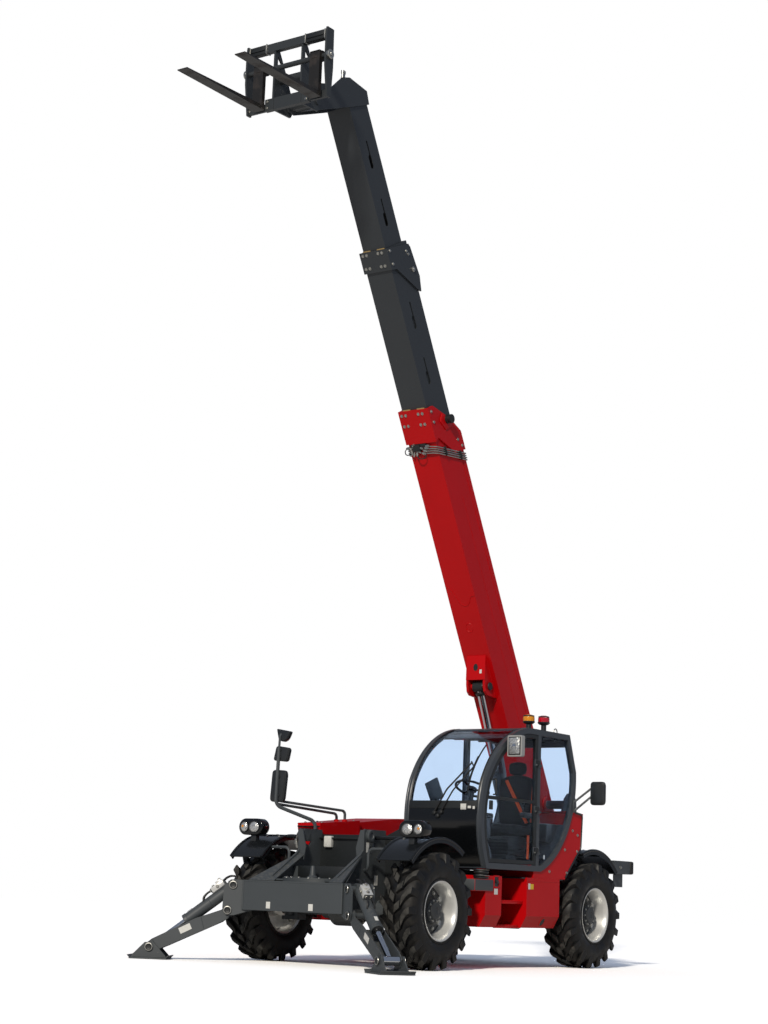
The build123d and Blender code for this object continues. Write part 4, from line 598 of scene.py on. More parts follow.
pins = []                           # pin through the top of each upright and the eye in its window
for way in (1, -1):
    boss = turned([(0.056, 0.0), (0.060, 0.004), (0.060, 0.020), (0.054, 0.026), (0.034, 0.026),
                   (0.030, 0.018), (0.010, 0.017)], 32)
    pins += copied(boss, seat((upright_front - 0.070, way * (upright_side + 0.013), upright_top - 0.065),
                              (0, way, 0)))
    eye = turned([(0.026, 0.0), (0.044, 0.0), (0.044, 0.020), (0.036, 0.024), (0.026, 0.018)], 28)
    pins += copied(eye, seat((upright_front - 0.105, way * (upright_side - 0.020), upright_top - 0.200),
                             (0, way, 0)))
    drop(boss, eye)
settle(joined(pins), "upright_bosses", "chassis", "grey_paint", grey_enamel)

# Round deck plate behind the beam: bolted along its front arc, with a cone that plugs its middle.
deck = turned([(0.100, 0.0), (0.371, 0.0), (0.377, 0.003), (0.377, 0.013), (0.371, 0.0165),
               (0.010, 0.0165)], 72)
deck.data.transform(Matrix.Translation((1.130, 0.0, beam_top + 0.0245)))
choose(deck)
bpy.ops.object.mode_set(mode="EDIT")
bpy.ops.mesh.select_all(action="SELECT")
bpy.ops.mesh.bisect(plane_co=(1.030, 0, 0), plane_no=(1, 0, 0), use_fill=True, clear_inner=True)
bpy.ops.object.mode_set(mode="OBJECT")
cone = turned([(0.052, 0.0), (0.052, 0.012), (0.034, 0.030), (0.024, 0.110), (0.018, 0.124),
               (0.008, 0.127)], 28)
cone.data.transform(Matrix.Translation((1.210, -0.030, beam_top + 0.040)))
small_cone = turned([(0.028, 0.0), (0.026, 0.050), (0.016, 0.066), (0.006, 0.068)], 20)
small_cone.data.transform(Matrix.Translation((1.150, 0.300, beam_top + 0.026)))
settle(joined([deck, cone, small_cone]), "bolted_deck", "chassis", "grey_paint", grey_enamel)
deck_bolts = [(1.130 + 0.345 * cos(turn), 0.345 * sin(turn), beam_top + 0.040)
              for turn in (radians(-72 + 18 * n) for n in range(9))]
bolts("deck_bolts", [seat(at, (0, 0, 1)) for at in deck_bolts], 0.026, "chassis")


def stained_finish(name, clean, stained, stain_size, detail, roughness):
    """A plain finish whose colour wanders between two shades in stains of this size."""
    finish, tree, place, shader = blank_finish(name)
    stains = add_node(tree, "TexNoise", [("Vector", place)], Scale=1 / stain_size, Detail=detail)
    shade = add_node(tree, "MixRGB", [("Fac", stains)], Color1=linear(clean), Color2=linear(stained))
    feed(shader, Base_Color=shade)
    shader.inputs["Roughness"].default_value = roughness
    return finish


# White vinyl film of the blank plates where a maker puts its signs, a little grimy.
white_film = stained_finish("white_vinyl_film", "#dfe0dd", "#c6c6c0", 0.02, 6.0, 0.4)


def film(name, place, width, height, body, finish=None):
    """A thin blank sticker with round corners, facing along its place's Z."""
    sheet = bar((-width / 2, -height / 2, -0.0004), (width / 2, height / 2, 0.0012), 0.0005, 1)
    sheet.data.transform(place)
    return settle(sheet, name, body, "silver_paint", finish or white_film)


# A place whose Z looks forward.
ahead_face = Matrix(((0, 0, 1, 0), (1, 0, 0, 0), (0, 1, 0, 0), (0, 0, 0, 1)))
for name, at, width, height in (
        ("beam_sticker_right", (beam_front + 0.0005, -0.29, 0.578), 0.052, 0.066),
        ("beam_sticker_left", (beam_front + 0.0005, 0.245, 0.572), 0.056, 0.066),
        ("bulkhead_sticker_high", (0.5787, 0.475, 1.160), 0.062, 0.125),
        ("bulkhead_sticker_low", (0.5787, 0.560, 0.900), 0.075, 0.125)):
    film(name, Matrix.Translation(at) @ ahead_face, width, height, "chassis")
gauge = [bar((0.598, -0.324, 1.190), (0.652, -0.236, 1.306), 0.006)]
gauge += [bar((0.650, -0.320 + 0.017 * n, 1.198), (0.658, -0.311 + 0.017 * n, 1.298), 0.002)
          for n in range(5)]
settle(joined(gauge), "ribbed_white_box", "chassis", "silver_paint", white_film)

couplings = []                      # quick couplers beside the right upright, with short hoses
for height in (1.215, 1.060):
    body = turned([(0.013, -0.045), (0.019, -0.045), (0.019, -0.012), (0.026, -0.010), (0.026, 0.014),
                   (0.018, 0.018), (0.018, 0.045), (0.012, 0.050), (0.006, 0.050)], 16)
    couplings += copied(body, seat((upright_front - 0.02, -0.462, height), (0.2, -0.1, 1)))
    drop(body)
settle(joined(couplings), "upright_couplers", "chassis", "chrome", zinc)
hoses = [pipe(0.011, [(upright_front - 0.02, -0.465, 1.262), (upright_front - 0.03, -0.470, 1.330),
                      (0.760, -0.475, 1.345), (0.640, -0.470, 1.250)], 0.05),
         pipe(0.011, [(upright_front - 0.02, -0.458, 1.012), (upright_front - 0.01, -0.465, 0.930),
                      (0.760, -0.480, 0.900), (0.600, -0.470, 0.900)], 0.05)]
settle(joined(hoses), "coupler_hoses", "chassis", "black_plastic", black_rubber)


# ---- stabilisers --------------------------------------------------------------------------
# Each leg swings on a pin through the beam's ear plates. Its cylinder has a chromed rod, a check
# valve with hoses, and bright washers on every pin. Stickers are blank.
for side, way in (("left", 1), ("right", -1)):
    pivot = Vector(joints[side + "_leg_swing"]["pos_m"])
    upper = Vector(joints[side + "_leg_cylinder_swing"]["pos_m"])
    foot = Vector(joints[side + "_foot_tilt"]["pos_m"])
    out = Vector((foot.x - pivot.x, foot.y - pivot.y, 0)).normalized()
    ahead = Vector((abs(out.y), -out.x * way, 0))
    leg, cylinder, pad = side + "_leg", side + "_leg_cylinder", side + "_foot"
    coat(grey_enamel, side + "_leg_arm", side + "_leg_barrel", side + "_foot_pad")
    coat(chrome, side + "_leg_rod")
    half = 0.137

    # Pin heads: a dark pin in a bright ring, on both faces of the ears and of the foot.
    head = turned([(0.016, -0.002), (0.031, -0.002), (0.032, 0.004), (0.028, 0.007), (0.020, 0.004),
                   (0.008, 0.004)], 28)
    washer = turned([(0.031, -0.003), (0.040, -0.003), (0.042, 0.001), (0.040, 0.005), (0.033, 0.006),
                     (0.031, 0.004)], 32, closed=True)
    for name, points, body in (("ear", (pivot, upper), "chassis"), ("foot", (foot,), leg)):
        places = [seat(point + ahead * half * face, ahead * face) for point in points for face in (1, -1)]
        settle(joined(copied(head, *places)), "%s_%s_pin_heads" % (side, name), body, "dark_grey_paint",
               dark_enamel)
        settle(joined(copied(washer, *places)), "%s_%s_pin_rings" % (side, name), body, "chrome", zinc)
    drop(head, washer)

    # Along the leg: weld seams and a blank sticker on both faces.
    along = (foot - pivot).normalized()
    across = ahead.cross(along)
    if across.z < 0:
        across = -across
    seams = []
    for face in (1, -1):
        side_at = ahead * face * 0.1025
        seams.append(pipe(0.0035, [pivot + along * 0.275 + across * 0.055 + side_at,
                                   pivot + along * 0.300 - across * 0.074 + side_at], 0, 1))
        seams.append(pipe(0.005, [pivot + along * 0.815 + across * 0.050 + side_at,
                                  pivot + along * 0.815 - across * 0.052 + side_at], 0, 1))
    settle(joined(seams), leg + "_weld_seams", leg, "grey_paint", grey_enamel)
    for face in (1, -1):
        frame_of = Matrix((along * face, across, ahead * face)).transposed().to_4x4()
        if frame_of.determinant() < 0:
            frame_of = Matrix((-along * face, across, ahead * face)).transposed().to_4x4()
        frame_of.translation = pivot + along * 0.47 + across * 0.012 + ahead * face * 0.1024
        film("%s_sticker_%s" % (leg, "front" if face == 1 else "back"), frame_of, 0.125, 0.062, leg)

    # Cylinder: gland collar, head ring, check valve with its fittings and four short hoses.
    drawn = (foot - upper).normalized()
    rise = ahead.cross(drawn)
    if rise.z < 0:
        rise = -rise
    barrel_frame = Matrix((drawn, ahead, rise)).transposed().to_4x4()
    barrel_frame.translation = upper
    rings = []
    for reach, radius, deep in ((0.600, 0.067, 0.040), (0.110, 0.066, 0.014), (0.300, 0.064, 0.006)):
        ring_model = turned([(radius - 0.012, -deep / 2), (radius - 0.002, -deep / 2),
                             (radius, -deep / 2 + 0.003), (radius, deep / 2 - 0.003),
                             (radius - 0.003, deep / 2), (radius - 0.012, deep / 2)], 40, closed=True)
        rings += copied(ring_model, seat(upper + drawn * reach, drawn))
        drop(ring_model)
    settle(joined(rings), cylinder + "_collars", cylinder, "dark_grey_paint", grey_enamel)
    gland = turned([(0.0285, 0.0), (0.046, 0.0), (0.050, 0.003), (0.048, 0.009), (0.036, 0.013),
                    (0.0285, 0.014)], 32, closed=True)
    settle(copied(gland, seat(upper + drawn * 0.606, drawn))[0], cylinder + "_gland_seal", cylinder,
           "black_plastic", black_rubber)
    drop(gland)
    valve = [bar((0.075, -0.048, 0.060), (0.222, 0.048, 0.116), 0.004),
             bar((0.085, -0.030, 0.114), (0.150, 0.030, 0.138), 0.004)]
    settle(joined(valve), cylinder + "_check_valve", cylinder, "silver_paint",
           rim_paint).data.transform(barrel_frame)
    fittings = []
    for x, y, z, tilt in ((0.232, -0.026, 0.092, (1, 0, 0.1)), (0.232, 0.026, 0.092, (1, 0, 0.1)),
                          (0.100, 0.0, 0.142, (0, 0, 1)), (0.190, 0.0, 0.120, (0, 0, 1)),
                          (0.148, 0.056, 0.09, (0, 1, 0))):
        fittings.append(seat((x, y, z), tilt))
    bolts(cylinder + "_fittings", [barrel_frame @ at for at in fittings], 0.026, cylinder)
    stubs = []
    for y in (-0.026, 0.026):
        stubs.append(pipe(0.0085, [barrel_frame @ Vector(at) for at in (
            (0.232, y, 0.092), (0.275, y, 0.098), (0.330, y * 1.3, 0.086),
            (0.355, y * 1.6, 0.050))], 0.018))
    for y in (-0.020, 0.020):
        stubs.append(pipe(0.010, [barrel_frame @ Vector(at) for at in (
            (0.080, y, 0.100), (0.030, y, 0.108), (-0.020, y * 1.4, 0.098),
            (-0.050, y * 1.6, 0.072))], 0.018))
    settle(joined(stubs), cylinder + "_hoses", cylinder, "black_plastic", black_rubber)
    label = barrel_frame @ Matrix.Translation((0.520, 0, 0.0665))
    film(cylinder + "_sticker", label, 0.060, 0.034, cylinder)

    # Foot: turned-up edges at both ends of the plate, a weld bead along each cheek.
    span, deep = 0.190, 0.177
    plate_frame = Matrix((out, ahead, Vector((0, 0, 1)))).transposed().to_4x4()
    plate_frame.translation = Vector((foot.x, foot.y, 0.001))
    edge = [plate([(-span, -deep, 0.012), (-span - 0.022, -deep, 0.034), (-span - 0.014, -deep, 0.038),
                   (-span + 0.010, -deep, 0.014)], (0, 2 * deep, 0), 0.002),
            plate([(span, -deep, 0.012), (span + 0.022, -deep, 0.034), (span + 0.014, -deep, 0.038),
                   (span - 0.010, -deep, 0.014)], (0, 2 * deep, 0), 0.002)]
    for face in (1, -1):
        edge.append(pipe(0.005, [(-0.16, face * 0.123, 0.018), (0.16, face * 0.123, 0.018)], 0, 1))
    rim = joined(edge)
    rim.data.transform(plate_frame)
    settle(rim, pad + "_rim", pad, "grey_paint", grey_enamel)


# ---- boom ---------------------------------------------------------------------------------
# A red outer boom and two dark sections. Bolts hold wear pads in each mouth's collar, steel
# pipes wrap round under the red one, weld seams and pin discs show on the plates.
# Signal red enamel of boom and covers: deep and even, its highlights faint.
red_enamel = enamel("signal_red_enamel", "#c0040b", "#b0040a", 0.30, 0.10, "#8f5a4e", "#5e1a18",
                    specular=0.2)
# Dark grey enamel of the sliding sections, between satin and gloss.
boom_enamel = enamel("dark_boom_enamel", "#2a2e32", "#303438", 0.38, 0.2)
coat(red_enamel, "boom_outer")
coat(boom_enamel, "boom_middle", "boom_inner")
boom_pivot = Vector(joints["boom_lift"]["pos_m"])
along = Vector(joints["middle_extend"]["axis"])
boom_frame = Matrix((along, Vector((0, 1, 0)), along.cross(Vector((0, 1, 0))))).transposed().to_4x4()
boom_frame.translation = boom_pivot         # now (along, left, above the pivot) in the boom


def in_boom(piece, *details):
    """Puts a piece drawn in the boom's directions to its place and settles it."""
    piece.data.transform(boom_frame)
    return settle(piece, *details)


outer_under, outer_half, outer_top, outer_end = -0.381, 0.185, 0.129, 5.086
middle_under, middle_half, middle_end = -0.366, 0.1675, 6.931
wall = 0.020
under = (0, 0, -1)
for name, body, end, low, half, rows, columns, flank in (
        ("outer", "outer_boom", outer_end, outer_under - wall, outer_half + wall, (-0.050, -0.175),
         (-0.165, -0.110, 0.060, 0.115),
         ((-0.050, 0.050), (-0.175, 0.050), (-0.590, 0.500), (-0.500, 0.440))),
        ("middle", "middle_boom", middle_end, middle_under - wall, middle_half + wall, (-0.035, -0.185),
         (-0.145, -0.094, 0.060, 0.112),
         ((-0.035, 0.050), (-0.185, 0.050), (-0.110, 0.370), (-0.150, 0.395)))):
    seats = [seat((end + row, across, low), under) for row in rows for across in columns]
    for at, up in flank:
        seats += [seat((end + at, way * half, low + up), (0, way, 0)) for way in (1, -1)]
    bolts(name + "_collar_bolts", [boom_frame @ at for at in seats], 0.028, body)
# Wear pads of cast polyamide look out of both mouths: beige, stained by grease.
beige_nylon = stained_finish("beige_polyamide", "#b59a63", "#8a744a", 0.03, 5.0, 0.5)
for name, body, end, low in (("outer", "outer_boom", outer_end, outer_under),
                             ("middle", "middle_boom", middle_end, middle_under)):
    pads = [bar((end - 0.03, y0, low + 0.0005), (end + 0.010, y1, low + 0.0145), 0.002)
            for y0, y1 in ((-0.150, -0.050), (0.040, 0.140))]
    in_boom(joined(pads), name + "_wear_pads", body, "black_plastic", beige_nylon)

# Seams on the red section: a wavy lap underneath, an oval patch, long folds on both sides.
lap = [(2.97, -outer_half), (2.955, -0.150), (2.90, -0.110), (2.80, -0.070), (2.735, -0.030),
       (2.710, 0.015), (2.715, 0.060), (2.750, 0.090), (2.800, 0.110), (2.825, 0.130), (2.835, outer_half)]
seams = [pipe(0.0045, [(u, v, outer_under - 0.001) for u, v in lap], 0.02)]
patch = turned([(0.036, -0.003), (0.040, 0.0025), (0.045, 0.0035), (0.049, 0.0), (0.050, -0.003)], 40,
               closed=True)
patch.data.transform(Matrix.Translation((2.440, 0.0, outer_under)) @ Matrix.Diagonal((1.25, 1, -1, 1)))
patch.data.flip_normals()
seams.append(patch)
for way in (1, -1):
    for up, thick in ((0.062, 0.004), (-0.120, 0.0025)):
        fold_end = 4.60 if up > 0 else 3.95
        seams.append(pipe(thick, [(0.12, way * outer_half, up), (fold_end, way * outer_half, up)], 0))
    seams.append(pipe(0.004, [(1.570, way * 0.131, -0.415), (2.040, way * 0.131, outer_under - 0.003)], 0))
in_boom(joined(seams), "boom_weld_seams", "outer_boom", "red_paint", red_enamel)
edges = [pipe(0.0075, [(0.10, way * (outer_half - 0.004), outer_top - 0.003),
                       (4.43, way * (outer_half - 0.004), outer_top - 0.003)], 0, 3) for way in (1, -1)]
in_boom(joined(edges), "boom_edge_rails", "outer_boom", "red_paint", red_enamel)

# Lift lug: dark pin discs on both cheeks, an oval hole in the box's front whose dark inside is a disc of
# painted shade, a blank white sticker.
lug_at, lug_under = 1.742, outer_under - 0.098
disc = turned([(0.020, -0.002), (0.046, -0.002), (0.048, 0.006), (0.044, 0.012), (0.012, 0.013)], 32)
discs = copied(disc, *[seat((lug_at, way * 0.140, lug_under), (0, way, 0)) for way in (1, -1)])
drop(disc)
in_boom(joined(discs), "lift_pin_discs", "outer_boom", "dark_grey_paint", dark_enamel)
slope = (Vector((lug_at + 0.350, 0, outer_under - 0.002))
         - Vector((lug_at + 0.105, 0, lug_under - 0.045))).normalized()
face_of = Matrix((Vector((0, 1, 0)), slope, Vector((0, 1, 0)).cross(slope))).transposed().to_4x4()
face_of.translation = Vector((lug_at + 0.105, 0, lug_under - 0.045)) + slope * 0.145
hole = turned([(0.026, 0.001), (0.030, 0.008), (0.036, 0.009), (0.038, 0.006)], 32, closed=True)
hole.data.transform(face_of @ Matrix.Diagonal((1, 1.35, 1, 1)))
# The hole's inside: a flat black disc, painted shade of the hollow box behind it.
lug_hole_shade_disc = turned([(0.031, 0.0082), (0.010, 0.0086)], 32)
lug_hole_shade_disc.data.transform(face_of @ Matrix.Diagonal((1, 1.35, 1, 1)))
in_boom(hole, "lug_hole_edge", "outer_boom", "red_paint", red_enamel)
in_boom(lug_hole_shade_disc, "lug_hole", "outer_boom", "black_plastic", black_rubber)
film("lug_sticker", boom_frame @ face_of @ Matrix.Translation((0.07, -0.05, 0.0078)), 0.030, 0.045,
     "outer_boom")

# Pipes under the red collar: a manifold with unions, four lines round each side to the back.
manifold = [bar((4.610, -0.120, outer_under - 0.045), (4.685, -0.020, outer_under - 0.001), 0.005),
            bar((4.655, -0.145, outer_under - 0.030), (4.690, 0.060, outer_under - 0.001), 0.004)]
in_boom(joined(manifold), "pipe_manifold", "outer_boom", "black_plastic", dark_enamel)
pipe_level = outer_under - 0.024
unions = []
for at, across, way in ((4.600, -0.150, (-1, 0, -0.2)), (4.630, -0.165, (-0.4, -1, 0)),
                        (4.575, -0.125, (-1, -0.3, -0.2)), (4.575, -0.085, (-1, 0, -0.3)),
                        (4.600, -0.045, (-0.6, 0.8, -0.2)), (4.640, -0.010, (-0.2, 1, 0)),
                        (4.575, 0.010, (-0.3, 1, 0)), (4.605, 0.035, (-0.3, 1, 0)),
                        (4.635, 0.060, (-0.2, 1, 0)), (4.660, 0.080, (0, 1, 0)),
                        (4.655, -0.185, (0, -1, 0)), (4.685, -0.100, (-0.2, -0.3, -1))):
    unions.append(boom_frame @ seat((at, across, pipe_level), way))
nut = turned([(0.008, -0.028), (0.012, -0.028), (0.012, -0.014), (0.017, -0.013), (0.017, 0.010),
              (0.012, 0.012), (0.012, 0.026), (0.006, 0.027)], 6)
settle(joined(copied(nut, *unions)), "pipe_unions", "outer_boom", "chrome", zinc, 30)
drop(nut)
lines = []
for number in range(4):
    at = 4.575 + 0.026 * number
    gap = 0.014 + 0.004 * (number % 2)
    lines.append(pipe(0.0075, [(at, 0.045 + 0.012 * number, pipe_level), (at - 0.004, 0.135, pipe_level),
                               (at - 0.020, outer_half + gap, outer_under - 0.012),
                               (at - 0.250, outer_half + gap, outer_top - 0.03),
                               (at - 0.270, outer_half + gap, outer_top + 0.018),
                               (at - 0.280, outer_half - 0.06, outer_top + 0.030)], 0.022))
    lines.append(pipe(0.0075, [(at, -0.150 + 0.008 * number, pipe_level),
                               (at - 0.006, -outer_half - gap, outer_under - 0.022),
                               (at - 0.250, -outer_half - gap, outer_top - 0.03),
                               (at - 0.270, -outer_half - gap, outer_top + 0.018),
                               (at - 0.280, 0.06 - outer_half, outer_top + 0.030)], 0.020))
in_boom(joined(lines), "boom_pipes", "outer_boom", "chrome", zinc)
clips = []
for way in (1, -1):
    for up in (-0.26, 0.02):
        shift = 0.078 if up < 0 else 0.215
        clips.append(bar((4.565 - shift, way * outer_half - (0.0 if way == 1 else 0.034), up - 0.012),
                         (4.672 - shift, way * outer_half + (0.034 if way == 1 else 0.0), up + 0.012),
                         0.004))
in_boom(joined(clips), "pipe_clips", "outer_boom", "black_plastic", black_rubber)
loop = [pipe(0.006, [(4.590, -0.150, outer_under - 0.030), (4.575, -0.215, outer_under - 0.045),
                     (4.615, -0.245, outer_under - 0.030), (4.650, -0.215, outer_under - 0.020),
                     (4.655, -0.185, outer_under - 0.020)], 0.025),
        pipe(0.006, [(4.560, -0.085, outer_under - 0.030), (4.530, -0.060, outer_under - 0.055),
                     (4.520, 0.0, outer_under - 0.055), (4.540, 0.040, outer_under - 0.035),
                     (4.575, 0.030, pipe_level)], 0.022)]
in_boom(joined(loop), "hose_loops", "outer_boom", "black_plastic", black_rubber)

# Hose guide drum on the red collar's left flank, with its red bracket.
guide = turned([(0.030, 0.0), (0.052, 0.0), (0.052, 0.030), (0.046, 0.034), (0.046, 0.052), (0.052, 0.056),
                (0.052, 0.078), (0.040, 0.086), (0.012, 0.088)], 28)
in_boom(copied(guide, seat((4.865, outer_half + wall, -0.085), (0, 1, 0)))[0], "hose_guide_drum",
        "outer_boom", "black_plastic", black_rubber)
drop(guide)
bracket = plate([(4.960, outer_half + 0.018, -0.160), (4.860, outer_half + 0.018, -0.020),
                 (4.760, outer_half + 0.018, -0.010), (4.760, outer_half + 0.018, -0.160),
                 (4.880, outer_half + 0.018, -0.230)], (0, 0.012, 0), 0.003)
in_boom(bracket, "hose_guide_bracket", "outer_boom", "red_paint", red_enamel)

# Pin through the dark collar's lugs, and three quick couplers on the inner boom's head.
pin = turned([(0.012, -0.002), (0.030, -0.002), (0.030, 0.010), (0.024, 0.016), (0.014, 0.016),
              (0.012, 0.022), (0.004, 0.022)], 24)
pins = copied(pin, *[seat((middle_end - 0.330, way * (middle_half + wall), 0.028), (0, way, 0))
                     for way in (1, -1)])
drop(pin)
in_boom(joined(pins), "middle_lug_pins", "middle_boom", "chrome", zinc)
head_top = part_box("boom_inner")[1].z
couplers = []
for number, (x, y) in enumerate(((1.330, 0.015), (1.380, 0.035), (1.290, -0.030))):
    body = turned([(0.012, 0.0), (0.020, 0.0), (0.020, 0.030), (0.014, 0.034), (0.014, 0.075),
                   (0.019, 0.078), (0.019, 0.110), (0.012, 0.114), (0.004, 0.112)], 16)
    couplers += copied(body, Matrix.Translation((x, y, head_top - 0.045 - 0.012 * number)))
    drop(body)
settle(joined(couplers), "head_couplers", "inner_boom", "chrome", zinc)


# ---- lift cylinder ------------------------------------------------------------------------
# A grey barrel with a pipe along it, a gland ring, a chromed rod and a grey eye between the lug's
# red cheeks.
coat(grey_enamel, "lift_barrel")
coat(chrome, "lift_rod")
lift_foot = Vector(joints["lift_swing"]["pos_m"])
push = Vector(joints["lift_stroke"]["axis"])
lift_frame = Matrix((push, Vector((0, 1, 0)), push.cross(Vector((0, 1, 0))))).transposed().to_4x4()
lift_frame.translation = lift_foot
gland = turned([(0.046, 0.0), (0.090, 0.0), (0.093, 0.004), (0.093, 0.050), (0.088, 0.058), (0.070, 0.060),
                (0.066, 0.072), (0.052, 0.076), (0.046, 0.074)], 40, closed=True)
settle(copied(gland, lift_frame @ seat((1.275, 0, 0), (1, 0, 0)))[0], "lift_gland", "lift_cylinder",
       "dark_grey_paint", dark_enamel)
band = turned([(0.084, -0.02), (0.089, -0.02), (0.0905, -0.017), (0.0905, 0.017), (0.089, 0.02),
               (0.084, 0.02)], 40, closed=True)
settle(joined(copied(band, *[lift_frame @ seat((at, 0, 0), (1, 0, 0)) for at in (0.22, 0.74)])),
       "lift_barrel_bands", "lift_cylinder", "grey_paint", grey_enamel)
drop(gland, band)
feed_pipe = pipe(0.011, [(0.10, 0.0, -0.080), (0.16, 0.0, -0.112), (1.16, 0.0, -0.112),
                         (1.245, 0.0, -0.080)], 0.03)
feed_pipe.data.transform(lift_frame)
settle(feed_pipe, "lift_feed_pipe", "lift_cylinder", "grey_paint", grey_enamel)
lug_pin = boom_frame @ Vector((lug_at, 0, lug_under))
reach = (lug_pin - lift_foot).dot(push)
eye = turned([(0.044, 0.0), (0.058, 0.006), (0.064, 0.018), (0.064, 0.038), (0.056, 0.046),
              (0.0455, 0.048)], 32, closed=True)
settle(copied(eye, lift_frame @ seat((reach - 0.105, 0, 0), (1, 0, 0)))[0], "lift_rod_collar",
       "lift_piston", "dark_grey_paint", dark_enamel)
sleeve = turned([(0.0505, -0.066), (0.060, -0.066), (0.063, -0.062), (0.063, 0.062), (0.060, 0.066),
                 (0.0505, 0.066)], 36, closed=True)
settle(copied(sleeve, seat(lug_pin, (0, 1, 0)))[0], "lift_rod_eye", "lift_piston", "dark_grey_paint",
       dark_enamel)
drop(eye, sleeve)


# ---- fork carriage and forks --------------------------------------------------------------
# Dark welded carriage: clamp sleeves on the top bar, shaft end bosses, bolts, and two forks of
# forged steel, near black with a brown bloom.

# Black-grey enamel of the carriage, dusty on top.
carriage_enamel = enamel("black_grey_carriage_enamel", "#2b2f32", "#33373a", 0.4, 0.3)
coat(carriage_enamel, "fork_carriage")
# Forged steel with mill scale, rougher and browner where it rusts.
forged, tree, place, shader = blank_finish("forged_fork_steel")
scale = add_node(tree, "TexNoise", [("Vector", place)], Scale=1 / 0.12, Detail=7.0)
rust = add_node(tree, "MapRange", [("Value", scale)], From_Min=0.48, From_Max=0.7, To_Max=0.8)
shade = add_node(tree, "MixRGB", [("Fac", rust)], Color1=linear("#1c1a18"), Color2=linear("#2e2724"))
matt = add_node(tree, "MapRange", [("Value", rust)], To_Min=0.4, To_Max=0.7)
feed(shader, Base_Color=shade, Roughness=matt)
coat(forged, "forks")
low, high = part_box("fork_carriage")
centre_y, top_z = (low.y + high.y) / 2, high.z - 0.010
tilt_pin = Vector(joints["carriage_tilt"]["pos_m"])
front_x, shaft_z = tilt_pin.x + 0.290, tilt_pin.z + 0.355
sleeves, rings = [], []
for y0, y1 in ((centre_y - 0.515, centre_y - 0.300), (centre_y + 0.230, centre_y + 0.480)):
    sleeves.append(bar((front_x - 0.066, y0, top_z - 0.096), (front_x + 0.008, y1, top_z + 0.006), 0.012))
    sleeves.append(bar((front_x + 0.004, y0 + 0.012, top_z - 0.060),
                       (front_x + 0.020, y1 - 0.012, top_z - 0.038), 0.006))
    for y in (y0 - 0.004, y1 + 0.004):
        rings.append(bar((front_x - 0.070, y - 0.007, top_z - 0.100),
                         (front_x + 0.012, y + 0.007, top_z + 0.010), 0.006))
settle(joined(sleeves), "carriage_clamp_sleeves", "carriage", "black_plastic", dark_enamel)
settle(joined(rings), "clamp_rings", "carriage", "chrome", zinc)
boss = turned([(0.020, -0.030), (0.050, -0.030), (0.052, -0.026), (0.052, 0.0), (0.044, 0.008),
               (0.024, 0.010), (0.020, 0.020), (0.008, 0.022)], 28)
ends = [seat((front_x - 0.010, centre_y + way * 0.565, shaft_z), (0, way, 0)) for way in (1, -1)]
settle(joined(copied(boss, *ends)), "shaft_end_bosses", "carriage", "chrome", zinc)
drop(boss)
low_z = tilt_pin.z - 0.105
cross_bolts = [seat((front_x - 0.008, centre_y + y, low_z + z), (1, 0, 0))
               for y in (-0.26, 0.26) for z in (0.03, 0.10)]
cross_bolts += [seat((front_x - 0.030, centre_y + way * 0.52, low_z + 0.05), (1, 0, 0))
                for way in (1, -1)]
bolts("carriage_bolts", cross_bolts, 0.024, "carriage")
hooks = []
for y in (0.300, -0.450):
    hooks.append(bar((front_x + 0.040, y - 0.035, shaft_z - 0.030),
                     (front_x + 0.056, y + 0.035, shaft_z - 0.014), 0.004))
    hooks.append(pipe(0.006, [(front_x + 0.053, y - 0.06, shaft_z + 0.045),
                              (front_x + 0.053, y + 0.06, shaft_z + 0.045)], 0))
settle(joined(hooks), "fork_shank_marks", "carriage", "forged_steel", forged)


# ---- cab ----------------------------------------------------------------------------------
# Two bent side rings in dark grey enamel, a windscreen that runs up into the roof, a black lower
# front. Rubber seals hold the glass; a guard of five slats stands under the roof's front edge.

# Slate grey enamel of the cab, glossier than the frame.
cab_enamel = enamel("slate_grey_cab_enamel", "#3c4147", "#373c41", 0.26, 0.2)
coat(cab_enamel, "cab_frame", "cab_roof")
coat(dark_enamel, "cab_door")
# Tempered safety glass: pale blue, with faint smears, thin enough to bend no light.
glass, tree, place, shader = blank_finish("pale_blue_safety_glass")
smear = add_node(tree, "TexNoise", [("Vector", place)], Scale=1 / 0.3, Detail=4.0)
haze = add_node(tree, "MapRange", [("Value", smear)], From_Min=0.5, From_Max=0.8, To_Min=0.0, To_Max=0.05)
feed(shader, Roughness=haze)
shader.inputs["Base Color"].default_value = linear("#e0edfc")
shader.inputs["Transmission Weight"].default_value = 1.0
shader.inputs["IOR"].default_value = 1.1
coat(glass, "cab_windows", "door_glass")
# Deep black gloss of tinted panels and lamp housings.
gloss_black, tree, place, shader = blank_finish("glossy_black_panel")
dust = add_node(tree, "TexNoise", [("Vector", place)], Scale=1 / 0.15, Detail=6.0)
sheen = add_node(tree, "MapRange", [("Value", dust)], To_Min=0.06, To_Max=0.22)
feed(shader, Roughness=sheen)
shader.inputs["Base Color"].default_value = linear("#0c0e10")
# Grained black plastic of the trim inside and of the mirrors' shells.
grained_plastic, tree, place, shader = blank_finish("grained_black_plastic")
grain = add_node(tree, "TexNoise", [("Vector", place)], Scale=1 / 0.0035, Detail=3.0)
wear = add_node(tree, "TexNoise", [("Vector", place)], Scale=1 / 0.2, Detail=5.0)
shade = add_node(tree, "MixRGB", [("Fac", wear)], Color1=linear("#1b1e21"), Color2=linear("#25282b"))
sheen = add_node(tree, "MapRange", [("Value", wear)], To_Min=0.30, To_Max=0.42)
bump = add_node(tree, "Bump", [("Height", grain)], Distance=0.0004)
feed(shader, Base_Color=shade, Roughness=sheen, Normal=bump)
coat(grained_plastic, "cab_right_panels")

